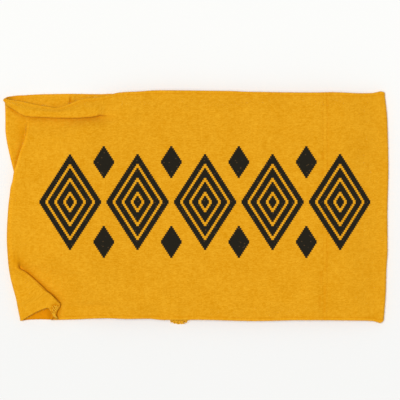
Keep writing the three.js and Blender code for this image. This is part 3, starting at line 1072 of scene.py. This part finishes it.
        # the pressed creases' painted shade
        crease, crease_band = self.creases(g, cloth, u, v)
        dash = g.step(self.dashes.node(g, cloth), *self.dashes.limits)
        seam_reach = g.times(*(g.step(v, *limits) for limits in self.seam_reach))
        seam = g.times(g.line(u, self.seam_u, self.thread), dash, seam_reach)
        hem_line = g.line(hem, self.hem_at, self.thread)
        hem_line = g.times(hem_line, g.step(blotch, *self.hem_gaps), g.step(u, *self.hem_from))
        hem_band = g.times(g.step(hem, *self.hem_band), g.step(ticks, *self.hem_band_gaps))
        # the crests of the folds, which get a painted highlight
        crest = g.math("MAXIMUM", fold, 0.0)
        # the hollows of the folds, which get painted shade, except in the soft dips
        hollow = g.times(g.math("MAXIMUM", g.times(fold, -1.0), 0.0), g.rest(dent))
        # the inside under the arch: painted bounce light, painted shade on the fold's crest and a painted
        # shadow along its rim
        under_arch = g.times(inside, g.step(v, *self.arch))
        # the painted shadow along the arch's rim
        rim = g.times(under_arch, g.step(hem, *self.rim))
        mouth_corner, under_roll = (
            g.times(side, g.step(v, *along), g.step(u, *across))
            for side, (along, across) in ((inside, self.mouth_corner), (outside, self.under_roll))
        )

        # Colour: gold or a deeper gold, with painted shade where the cloth is sheltered, in the folds'
        # hollows, along the pressed creases and on the fold's crest under the arch, and the darker thread of
        # the seam and the hem line
        painted_fold_shade = g.times(
            g.step(shelter, *self.shelter_hides),
            g.raised(mouth_corner, self.mouth_corner_opens),
            g.raised(under_roll, self.under_roll_opens),
            g.step(dent, *self.dent_opens),
        )
        painted_shade_and_thread_share = g.highest(
            painted_fold_shade,
            g.times(hollow, self.hollow_deepens),
            g.times(hem_line, self.hem_deepens),
            g.times(crease, self.crease_deepens),
            g.times(seam, self.seam_deepens),
            g.times(under_arch, crest),
        )
        tints = [
            g.scaled(g.step(layer, *grain.limits), *grain.tint)
            for layer, grain in zip(layers, grains)
            if grain.tint is not None
        ]
        tint = g.math("ADD", g.total(*tints), g.scaled(stitch, *self.stitch_tint), clamped=True)
        # painted orange bounce light on the shaded inside under the arch and at the upper mouth's corner
        painted_bounce = g.highest(g.times(under_arch, self.arch_glow), g.times(mouth_corner, self.mouth_corner_glow))
        open_cloth = g.mix(painted_bounce, g.mix(tint, self.golden, self.deep), self.glowing)
        # painted shade in the soft dips past the folds' ends: a dimmer colour
        open_cloth = g.mix(g.times(dent, self.dent_share), open_cloth, self.dimmed)

        # Shade: each of these makes the golden yarn lighter, or darker where its amount is below 0. Next to
        # the random tone, they hold painted shade between stitches, round the creases, on the arch's rim, in
        # the dips and round sheltered cloth, and painted light on the folds' crests, on the left part and in
        # the dips under real shade
        factor = g.times(
            g.scaled(height, *self.height_shade),
            *(g.around(layer, grain.shade) for layer, grain in zip(layers, grains)),
            g.around(stitch, self.stitch_shade),
            g.around(fuzz, self.fuzz.shade),
            g.raised(crease_band, self.crease_band_shade),
            g.raised(hem_band, self.hem_band_shade),
            g.raised(g.times(crest, outside), self.crest_shade),
            g.raised(g.step(u, *self.left), self.left_shade),
            g.raised(rim, self.rim_shade),
            # the soft dips: a faint painted shade, and painted light where the real shade over them is deep
            g.raised(dent, self.dent_shade),
            g.raised(g.times(dent, g.step(shelter, *self.dent_shelter)), self.dent_shelter_shade),
            g.raised(g.step(shelter, *self.shelter_dims), self.shelter_shade),
        )
        ground = g.shade(g.mix(painted_shade_and_thread_share, open_cloth, self.folded_in), factor)
        flecks = g.times(g.step(stitch, *self.fleck_limits), self.fleck_share)
        dark = g.shade(g.mix(flecks, self.black, self.fleck), g.around(fuzz, self.black_fuzz))
        figure = g.times(self.figure.mask(g, u, v), outside)
        relief = g.total(g.times(height, self.relief[0]), g.times(fuzz, self.relief[1]))
        g.give({
            "Base Color": g.mix(figure, ground, dark),
            "Roughness": g.scaled(fuzz, *self.roughness),
            "Normal": g.bump(relief, *self.bump),
            "Specular IOR Level": self.specular,
            "Specular Tint": GOLDEN_LIGHT,
            "Sheen Weight": self.sheen,
            "Sheen Roughness": self.sheen_roughness,
            "Sheen Tint": GOLDEN_LIGHT,
        })
        return g.material


@dataclass(frozen=True)
class LooseYarn:
    """A loose end of the golden yarn, twisted: painted shade in the twist's grooves leaves it a little paler
    at its crests, and painted shade darkens the gaps between strands.
    """

    name: str
    golden: Colour = (0.95, 0.53, 0.040)
    shadow: Colour = (0.78, 0.36, 0.010)
    # painted shade in the gaps between strands, where the stored shelter is high
    gap: Colour = (0.40, 0.14, 0.0004)
    gap_shelter: Pair = (0.30, 0.62)
    twist: float = 1400.0
    twist_wobble: float = 2.0
    fuzz: float = 2600.0
    fuzz_shade: float = 0.3
    roughness: Pair = (0.2, 0.75)
    bump: Pair = (0.4, 0.06)
    specular: float = 0.2

    def material(self) -> bpy.types.Material:
        """Builds the yarn's material.

        Returns:
            The material.
        """
        g = Graph(self.name)
        place = g.add("ShaderNodeTexCoord", {}).outputs["Object"]
        inputs = {"Vector": place, "Scale": self.twist, "Distortion": self.twist_wobble, "Detail": 1.0}
        twist = g.add("ShaderNodeTexWave", inputs).outputs["Fac"]
        fuzz = g.noise(place, self.fuzz)
        share = g.math("MULTIPLY", twist, g.around(fuzz, self.fuzz_shade), clamped=True)
        # painted shade: the twist's grooves take the shadow colour, and the sheltered gaps the painted gap
        # shade
        open_yarn = g.mix(share, self.shadow, self.golden)
        g.give({
            "Base Color": g.mix(g.step(g.attribute("shelter"), *self.gap_shelter), open_yarn, self.gap),
            "Roughness": g.scaled(fuzz, *self.roughness),
            "Normal": g.bump(twist, *self.bump),
            "Specular IOR Level": self.specular,
            "Specular Tint": GOLDEN_LIGHT,
        })
        return g.material


@dataclass(frozen=True)
class PaleSurface:
    """The matt pale surface that the band lies on, with painted light: a little lighter towards its far side.
    """

    near: Colour = (0.846, 0.847, 0.838)
    # painted light: the far side of the surface is a little lighter
    far: Colour = (0.886, 0.887, 0.873)
    fade: Pair = (-0.09, 0.09)
    fibre: float = 9.0
    fibre_shade: float = 0.006
    grain: float = 40.0
    roughness: Pair = (0.1, 0.85)
    specular: float = 0.1

    def material(self) -> bpy.types.Material:
        """Builds the surface's material.

        Returns:
            The material.
        """
        g = Graph("pale_surface")
        place = g.add("ShaderNodeTexCoord", {}).outputs["Object"]
        along = g.add("ShaderNodeSeparateXYZ", {"0": place}).outputs["Y"]
        # painted light: the surface is lighter towards its far side
        paper = g.mix(g.step(along, *self.fade), self.near, self.far)
        g.give({
            "Base Color": g.shade(paper, g.around(g.noise(place, self.fibre), self.fibre_shade)),
            "Roughness": g.scaled(g.noise(place, self.grain), *self.roughness),
            "Specular IOR Level": self.specular,
        })
        return g.material


# Sub-assemblies


@dataclass(frozen=True)
class SoftDent:
    """A soft patch of painted shade on the front layer; it changes only the colour.

    x and y are its middle, way is the direction it runs in, in degrees, along and across are its reach, and
    depth is its strength.
    """

    x: float
    y: float
    way: float
    along: float
    across: float
    depth: float

    def at(self, p: Vector) -> float:
        """How strongly the patch's shade is painted at a point.

        Args:
            p: the point, in millimetres.

        Returns:
            The strength there, from 0 to the patch's depth.
        """
        x, y = p.x - self.x, p.y - self.y
        ahead, up = math.cos(math.radians(self.way)), math.sin(math.radians(self.way))
        along = (x * ahead + y * up) / self.along
        across = (y * ahead - x * up) / self.across
        return self.depth * math.exp(-along * along - across * across)


# Waves of the uneven cloth: each one's amount, and the sines it multiplies as rates along x and y and a phase
RIPPLES = (
    (1.0, ((0.23, 0.11, 0.6), (-0.05, 0.17, 1.1))),
    (0.6, ((0.09, -0.31, 2.0),)),
    (0.5, ((0.41, 0.07, 0.0), (0.0, 0.29, 0.4))),
)


@dataclass
class Band:
    """The cloth tube itself."""

    shape: TubeShape = field(default_factory=TubeShape)
    finish: KnittedCloth = field(default_factory=KnittedCloth)
    flat_size: Pair = (0.386, 0.1145)
    bead: float = 0.1
    bead_reach: Pair = (0.8, 1.7)
    least_half: float = 0.04
    wave: float = 0.16
    wave_levels: Pair = (3.2, 5.5)
    mouth_wave: float = 0.8
    mouth_wave_reach: Pair = (44, 56)
    droop: float = 1.3
    droop_reach: float = 11.0
    droop_levels: Pair = (4.0, 6.5)
    # soft patches of painted shade past the ends of the pleat and the left fold; they change only the colour
    pleat_dent: SoftDent = SoftDent(x=-88.9, y=-28.5, way=-51.5, along=5.4, across=3.0, depth=1.0)
    fold_dent: SoftDent = SoftDent(x=-87.3, y=37.0, way=-90.0, along=7.5, across=2.8, depth=0.9)
    dent_levels: Pair = (1.0, 2.0)
    shelter_reach: float = 4.6
    anchor_x: float = -36.0
    bake_rows: tuple[Pair, ...] = ((0.0, 0.40), (0.40, 0.70), (0.70, 0.85), (0.85, 1.0))
    bake_margin: float = 0.004

    def outward(self, grid: Grid, j: int, i: int) -> Vector:
        """The cloth's outward direction at a grid point, from the points beside it.

        Args:
            grid: the cloth's middle.
            j: the point's row.
            i: the point's column.

        Returns:
            The direction, of length 1.
        """
        columns = len(grid[j])
        across = grid[j][(i + 1) % columns] - grid[j][i - 1]
        along = grid[min(j + 1, len(grid) - 1)][i] - grid[max(j - 1, 0)][i]
        return along.cross(across).normalized()

    def lengths(self, points: list[Vector]) -> list[float]:
        """The cloth's length from the first point to each."""
        return list(accumulate(((b - a).length for a, b in zip(points, points[1:])), initial=0.0))

    def rippled(self, grid: Grid) -> Grid:
        """Gives the layers the slight unevenness of cloth that has been worn and put down.

        Args:
            grid: the cloth's middle.

        Returns:
            The grid with its points moved a little up or down, least beside folds and where layers touch, and
            with the front layer's mouths sunk a little.
        """
        mouth = self.shape.top_row

        def moved(p: Vector) -> Vector:
            """A point with its ripple and droop.

            Args:
                p: the point.

            Returns:
                The moved point.
            """
            wave = sum(
                amount * math.prod(math.sin(a * p.x + b * p.y + phase) for a, b, phase in sines)
                for amount, sines in RIPPLES
            )
            free = smooth(p.z, *self.wave_levels)
            near_mouth = 1 + self.mouth_wave * smooth(abs(p.y), *self.mouth_wave_reach)
            at_mouth = smooth(abs(p.y), mouth - self.droop_reach, mouth)
            droop = self.droop * at_mouth * smooth(p.z, *self.droop_levels)
            return p + Vector((0, 0, wave * self.wave * free * near_mouth - droop))

        return [[moved(p) for p in row] for row in grid]

    def crest(self, grid: Grid, j: int, i: int) -> float:
        """How the outer face bends at a grid point.

        Args:
            grid: the cloth's middle.
            j: the point's row.
            i: the point's column.

        Returns:
            1 on a hard fold's crest, -1 in its hollow and 0 where the cloth is flat.
        """
        columns = len(grid[j])
        outward = self.outward(grid, j, i)
        sharpest = 0.0
        rows = (grid[max(j - 1, 0)][i], grid[min(j + 1, len(grid) - 1)][i])
        for before, after in ((grid[j][i - 1], grid[j][(i + 1) % columns]), rows):
            a, b = grid[j][i] - before, after - grid[j][i]
            if a.length > TINY and b.length > TINY:
                bend = (a.normalized() - b.normalized()).dot(outward) / ((a.length + b.length) / 2)
                sharpest = max(sharpest, bend, key=abs)
        return clamp(sharpest * self.shape.fold_radius, -1, 1)

    def dent(self, p: Vector) -> float:
        """How strongly shade is painted on a point of the front layer past the ends of the folds, from 0 to
        1.
        """
        return max(self.pleat_dent.at(p), self.fold_dent.at(p)) * smooth(p.z, *self.dent_levels)

    def half_thickness(self, edge: float) -> float:
        """Half the cloth's thickness, with a bead along the hems and round rims.

        Args:
            edge: the way to the nearer hem.

        Returns:
            The half thickness there.
        """
        half = self.shape.cloth / 2
        reach = 1 - min(1.0, edge / half)
        bead = self.bead * (1 - smooth(edge, *self.bead_reach))
        return max(self.least_half, (half + bead) * math.sqrt(1 - reach * reach))

    def add_points(
        self, parts: MeshParts, grid: Grid, up_column: list[list[float]]
    ) -> dict[str, list[float]]:
        """Adds the points of the cloth's faces, the outer one first, and puts them on the floor.

        Args:
            parts: the mesh's parts.
            grid: the cloth's middle.
            up_column: the cloth's length up each column.

        Returns:
            The values that the mesh stores at its points, by name.
        """
        xs, ys = [p.x for row in grid for p in row], [p.y for row in grid for p in row]
        shift = Vector(((min(xs) + max(xs)) / -2, (min(ys) + max(ys)) / -2, 0))
        stored: dict[str, list[float]] = {"inside": [], "hem": [], "fold": [], "dent": []}
        for face in Face:
            outer = face is Face.OUTER
            for j, row in enumerate(grid):
                for i, middle in enumerate(row):
                    edge = min(up_column[i][j], up_column[i][-1] - up_column[i][j])
                    off = self.outward(grid, j, i) * (face.value * self.half_thickness(edge))
                    p = middle + off + shift
                    parts.points.append(p)
                    stored["inside"].append(0.0 if outer else 1.0)
                    stored["hem"].append(edge)
                    crest = self.crest(grid, j, i) if 0 < j < len(grid) - 1 else 0.0
                    stored["fold"].append(face.value * crest)
                    stored["dent"].append(self.dent(p) if outer else 0.0)
        lowest = min(p.z for p in parts.points)
        for p in parts.points:
            p.z -= lowest
        return stored

    def add_faces(self, parts: MeshParts, rows: int, columns: int) -> list[Quad]:
        """Adds the mesh's faces on both faces of the cloth and round its two rims.

        Args:
            parts: the mesh's parts.
            rows: the grid's rows.
            columns: the grid's columns.

        Returns:
            For each of them, the face of the cloth that it counts to and its corners' rows and columns.
        """
        made: list[Quad] = []

        def quad(counts_to: Face, corners: Sequence[tuple[Face, int, int]]) -> None:
            """Adds one of the mesh's faces.

            Args:
                counts_to: the face of the cloth that it counts to.
                corners: its corners, each with its own face of the cloth, its row and its column.
            """
            first = {Face.OUTER: 0, Face.INNER: rows * columns}
            parts.faces.append(tuple(first[face] + j * columns + i % columns for face, j, i in corners))
            made.append((counts_to, [(j, i) for _, j, i in corners]))

        for i in range(columns):
            for j in range(rows - 1):
                quad(Face.OUTER, [(Face.OUTER, *p) for p in ((j, i), (j + 1, i), (j + 1, i + 1), (j, i + 1))])
                quad(Face.INNER, [(Face.INNER, *p) for p in ((j, i), (j, i + 1), (j + 1, i + 1), (j + 1, i))])
        for i in range(columns):
            for j, way in ((0, 1), (rows - 1, -1)):
                rim = ((Face.INNER, i), (Face.OUTER, i), (Face.OUTER, i + 1), (Face.INNER, i + 1))
                quad(Face.OUTER, [(face, j, at) for face, at in rim[::way]])
        return made

    def build(self) -> bpy.types.Object:
        """Builds the tube with its outer and inner faces, its coordinates and its finish.

        Returns:
            The band's object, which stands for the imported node.
        """
        grid = self.rippled(self.shape.grid())
        up_column = [self.lengths(list(column)) for column in zip(*grid)]
        parts = MeshParts()
        stored = self.add_points(parts, grid, up_column)
        quads = self.add_faces(parts, len(grid), len(grid[0]))
        made = parts.build("band_cloth")
        self.lay_out(made, grid, quads, up_column)
        for name, values in stored.items():
            made.data.attributes.new(name, "FLOAT", "POINT").data.foreach_set("value", values)
        made.data.materials.append(self.finish.material())
        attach(made, BODY)
        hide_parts(NODE)
        return made

    def lay_out(
        self, made: bpy.types.Object, grid: Grid, quads: list[Quad], up_column: list[list[float]]
    ) -> None:
        """Lays the cloth out flat in two maps: Cloth in millimetres, and OFBake within the unit square.

        Args:
            made: the band's object.
            grid: the cloth's middle.
            quads: the cloth's face and the grid's places for each of the mesh's faces.
            up_column: the cloth's length up each column.
        """
        rows, columns = len(grid), len(grid[0])
        middle = min(range(rows), key=lambda j: abs(grid[j][columns // 3].y))
        across = [self.lengths([*row, row[0]]) for row in grid]
        anchor, left = self.shape.steps.anchor, self.shape.steps.left
        cloth = made.data.uv_layers.new(name="Cloth")
        bake = made.data.uv_layers.new(name="OFBake")
        loop = 0
        for face, places in quads:
            front = min(i for _, i in places) < left
            low, high = self.bake_rows[(0 if front else 1) + (0 if face is Face.OUTER else 2)]
            for j, i in places:
                up = up_column[i % columns]
                v = up[j] - up[middle] + grid[middle][i % columns].y
                cloth.data[loop].uv = (self.anchor_x + across[j][anchor] - across[j][i], v)
                start, end = (0, left) if front else (left, columns)
                share = (across[j][i] - across[j][start]) / (across[j][end] - across[j][start])
                bake.data[loop].uv = (
                    lerp(self.bake_margin, 1 - self.bake_margin, share),
                    lerp(low + self.bake_margin, high - self.bake_margin, up[j] / up[-1]),
                )
                loop += 1


CHEVRONS = Table(
    ("y", "x", "right", "left"),
    ((-53.2, -71.1, 4.1, 2.4), (-51.8, -70.9, 2.8, 2.2), (-50.4, -70.5, 1.3, 1.3)),
)


@dataclass
class SeamEnd:
    """The stitched end of the tube's seam: V stitches on the folded corner's tip, and their three ends."""

    right_way: Pair = (0.58, 0.81)
    left_way: Pair = (-0.38, 0.92)
    tail: tuple[Pair, ...] = ((-71.4, -53.0), (-70.9, -54.5), (-69.6, -56.3))
    tail_ends: tuple[float, ...] = (-0.42, 0.0, 0.42)
    tail_lift: float = 0.15
    leg_stops: tuple[float, ...] = (0.0, 0.15, 0.3, 0.45, 0.6, 0.75, 0.9, 1.0)
    leg_lift: Pair = (0.12, 0.2)
    leg_swell: Pair = (0.75, 0.3)
    yarn: float = 0.27
    sides: int = 8
    above: float = 30.0
    shelter_reach: float = 1.0

    def build(self, ground: BVHTree) -> bpy.types.Object:
        """Builds the stitches on the cloth below them.

        Args:
            ground: the band's faces, which the stitches lie on.

        Returns:
            The stitches' object.
        """

        def on_cloth(x: float, y: float, lift: float) -> Vector:
            """The point over x, y that is lifted off the cloth."""
            hit = ground.ray_cast(Vector((x, y, self.above)) * MM, Vector((0, 0, -1)))[0]
            return Vector((x, y, hit.z / MM + lift))

        parts = MeshParts()
        for y, x, right, left in CHEVRONS.rows:
            for (way_x, way_y), length in ((self.right_way, right), (self.left_way, left)):
                leg = [
                    on_cloth(
                        x + way_x * length * t,
                        y + way_y * length * t,
                        self.leg_lift[0] + self.leg_lift[1] * math.sin(math.pi * t),
                    )
                    for t in self.leg_stops
                ]
                swell, more = self.leg_swell
                parts.tube(leg, lambda t: self.yarn * (swell + more * math.sin(math.pi * t)), self.sides)
        for offset in self.tail_ends:
            tail = [on_cloth(x + offset, y, self.tail_lift) for x, y in self.tail]
            parts.tube(tail, lambda _t: self.yarn, self.sides)
        made = parts.build("seam_end")
        made.data.materials.append(LooseYarn("seam_yarn").material())
        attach(made, BODY)
        return made


@dataclass
class YarnTuft:
    """A bunch of looped yarn that bulges out from under the lower mouth, with fine hairs."""

    centre_x: float = -8.1
    mouth_y: float = -56.3
    spread: float = 4.2
    reach: float = 3.0
    least_reach: float = 0.78
    tucked: float = 0.6
    loops: int = 26
    loop_steps: int = 14
    loop_limits: tuple[Pair, Pair, Pair] = ((0.35, 0.8), (-0.9, 0.9), (0.0, 1.3))
    loop_back_rise: float = 0.4
    loop_fall: float = 0.6
    loop_fullness: float = 0.6
    loop_sides: int = 7
    swell: tuple[float, float, float] = (0.9, 0.1, 9)
    yarn: float = 0.28
    off_floor: float = 0.04
    hairs: int = 26
    hair_spread: Pair = (-1.2, 1.2)
    hair_root: tuple[Pair, Pair] = ((-0.6, -2.0), (0.3, 1.0))
    hair_way: tuple[Pair, Pair, Pair] = ((-0.9, 0.9), (-0.3, -1.4), (-0.2, 0.3))
    hair_bow: tuple[Pair, Pair] = ((-0.3, 0.3), (-0.2, 0.2))
    hair_lift: float = 0.1
    hair_lowest: float = 0.08
    hair_radius: float = 0.05
    taper: float = 0.6
    hair_sides: int = 4
    shelter_reach: float = 1.2
    seed: int = 11

    def loop(self, draw: random.Random, place: float) -> list[Vector]:
        """One loop of the yarn.

        Args:
            draw: the random numbers.
            place: its place in the tuft, from -1 to 1.

        Returns:
            The points of its middle.
        """
        reach = self.reach * math.sqrt(1 - place ** 4) * draw.uniform(self.least_reach, 1.0) - self.yarn
        width, lean, rise = (draw.uniform(*limits) for limits in self.loop_limits)
        middle = self.centre_x + self.spread * place
        made = []
        for s in range(self.loop_steps + 1):
            turn = math.pi * s / self.loop_steps
            out = math.sin(turn)
            x = middle - width * math.cos(turn) + lean * out
            y = self.mouth_y + self.tucked - (reach + self.tucked) * out ** self.loop_fullness
            z = self.yarn + self.off_floor + rise * (1 - self.loop_fall * out)
            made.append(Vector((x, y, z + self.loop_back_rise * (1 - out))))
        return made

    def hair(self, draw: random.Random) -> list[Vector]:
        """One fine hair that stands off the loops.

        Args:
            draw: the random numbers.

        Returns:
            Its root, its middle and its tip.
        """
        x = self.centre_x + self.spread * draw.uniform(*self.hair_spread)
        y, z = (draw.uniform(*limits) for limits in self.hair_root)
        root = Vector((x, self.mouth_y + y, z))
        tip = root + Vector([draw.uniform(*limits) for limits in self.hair_way])
        tip.z = max(self.hair_lowest, tip.z)
        bow = Vector((*(draw.uniform(*limits) for limits in self.hair_bow), self.hair_lift))
        return [root, (root + tip) / 2 + bow, tip]

    def build(self) -> bpy.types.Object:
        """Builds the loops and the hairs.

        Returns:
            The tuft's object.
        """
        draw = random.Random(self.seed)
        parts = MeshParts()
        least, more, rate = self.swell
        for k in range(self.loops):
            loop = self.loop(draw, 2 * (k + 0.5) / self.loops - 1)
            parts.tube(loop, lambda t: self.yarn * (least + more * math.sin(rate * t)), self.loop_sides)
        for _ in range(self.hairs):
            parts.tube(self.hair(draw), lambda t: self.hair_radius * (1 - self.taper * t), self.hair_sides)
        made = parts.build("yarn_tuft")
        made.data.materials.append(LooseYarn("tuft_yarn").material())
        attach(made, BODY)
        return made


@dataclass
class EdgeFuzz:
    """The fine fibres that stand off the cloth along its mouths and its two sides."""

    along_mouths: int = 4200
    along_sides: int = 900
    mouth_depth: float = 12.0
    side_depth: float = 20.0
    length: Pair = (0.2, 1.0)
    shortness: float = 1.6
    first_share: float = 0.55
    first_drift: float = 0.6
    rooted: float = 0.05
    radius: float = 0.022
    taper: float = 0.5
    sides: int = 3
    spread: float = 0.8
    lowest: float = 0.1
    reach: tuple[float, float, float] = (100.0, 62.0, 7.6)
    seed: int = 5
    finish: LooseYarn = LooseYarn("fuzz_fibre", golden=(0.98, 0.80, 0.36), shadow=(0.96, 0.68, 0.20))

    def build(self, ground: BVHTree) -> bpy.types.Object:
        """Sows the fibres where a level line from outside first meets the cloth.

        Args:
            ground: the band's faces, which the fibres grow from.

        Returns:
            The fibres' object.
        """
        draw = random.Random(self.seed)
        parts = MeshParts()
        far_x, far_y, top = self.reach
        for k in range(self.along_mouths + self.along_sides):
            way = draw.choice((-1, 1))
            z = draw.uniform(self.lowest, top)
            if k < self.along_mouths:
                start, ray = Vector((draw.uniform(-far_x, far_x), far_y * way, z)), Vector((0, -way, 0))
                depth = self.mouth_depth
            else:
                start, ray = Vector((far_x * way, draw.uniform(-far_y, far_y), z)), Vector((-way, 0, 0))
                depth = self.side_depth
            root, normal = ground.ray_cast(start * MM, ray, depth * MM)[:2]
            if root is None:
                continue
            root = root / MM
            drift = Vector([draw.uniform(-self.spread, self.spread) for _ in range(3)])
            length = lerp(*self.length, draw.random() ** self.shortness)
            first = root + (normal + drift * self.first_drift).normalized() * length * self.first_share
            curl = Vector([draw.uniform(-self.spread, self.spread) for _ in range(3)])
            last = first + (normal + drift + curl).normalized() * length * (1 - self.first_share)
            first.z, last.z = max(self.radius, first.z), max(self.radius, last.z)
            fibre = [root - normal * self.rooted, first, last]
            parts.tube(fibre, lambda t: self.radius * (1 - self.taper * t), self.sides)
        made = parts.build("edge_fuzz")
        made.data.materials.append(self.finish.material())
        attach(made, BODY)
        return made


@dataclass
class PhotoView:
    """A long lens straight above the band."""

    centre: Pair = (2.15, 3.42)
    picture: float = 200.8
    lens: float = 200.0
    sensor: float = 36.0
    level: float = 4.0

    def build(self) -> None:
        """Sets up the camera."""
        data = bpy.data.cameras.new("camera")
        data.lens, data.sensor_width = self.lens, self.sensor
        distance = self.picture / self.sensor * self.lens
        camera = bpy.data.objects.new("camera", data)
        camera.location = Vector((*self.centre, self.level + distance)) * MM
        bpy.context.scene.collection.objects.link(camera)
        bpy.context.scene.camera = camera


@dataclass
class Studio:
    """The pale surface, the soft light over it and the light from all round."""

    surround: float = 0.36
    surround_colour: tuple[float, float, float, float] = (1.0, 1.0, 0.99, 1.0)
    key_strength: float = 2.36
    key_from: tuple[float, float, float] = (-0.16, 0.02, 1.0)
    key_spread: float = 24.0
    floor_size: float = 6.0
    finish: PaleSurface = field(default_factory=PaleSurface)

    def build(self) -> None:
        """Sets up the floor, the lights and the plain view of colours."""
        half = self.floor_size / 2
        mesh = bpy.data.meshes.new("floor")
        corners = [(-half, -half, 0), (half, -half, 0), (half, half, 0), (-half, half, 0)]
        mesh.from_pydata(corners, [], [(0, 1, 2, 3)])
        floor = bpy.data.objects.new("floor", mesh)
        mesh.materials.append(self.finish.material())
        bpy.context.scene.collection.objects.link(floor)
        light = bpy.data.lights.new("soft_key", "SUN")
        light.energy, light.angle = self.key_strength, math.radians(self.key_spread)
        key = bpy.data.objects.new("soft_key", light)
        key.location = self.key_from
        key.rotation_euler = (-key.location).to_track_quat("-Z", "Y").to_euler()
        bpy.context.scene.collection.objects.link(key)
        world = bpy.data.worlds.new("surround")
        world.use_nodes = True
        background = world.node_tree.nodes["Background"].inputs
        background["Color"].default_value = self.surround_colour
        background["Strength"].default_value = self.surround
        bpy.context.scene.world = world
        bpy.context.scene.view_settings.view_transform = "Standard"


def main() -> None:
    """Builds the band and everything round it, and reports each piece."""
    logging.basicConfig(level=logging.INFO, format="%(message)s")
    PhotoView().build()
    Studio().build()
    band_maker, seam_maker, tuft_maker = Band(), SeamEnd(), YarnTuft()
    band = band_maker.build()
    mesh = band.data
    ground = BVHTree.FromPolygons([v.co for v in mesh.vertices], [p.vertices for p in mesh.polygons])
    seam_end = seam_maker.build(ground)
    tuft = tuft_maker.build()
    fuzz = EdgeFuzz().build(ground)
    makers = {band: band_maker, seam_end: seam_maker, tuft: tuft_maker}
    store_shelter({piece: maker.shelter_reach for piece, maker in makers.items()})
    for piece in (band, seam_end, tuft, fuzz):
        LOG.info("%s: %d faces", piece.name, len(piece.data.polygons))


if __name__ == "__main__":
    main()
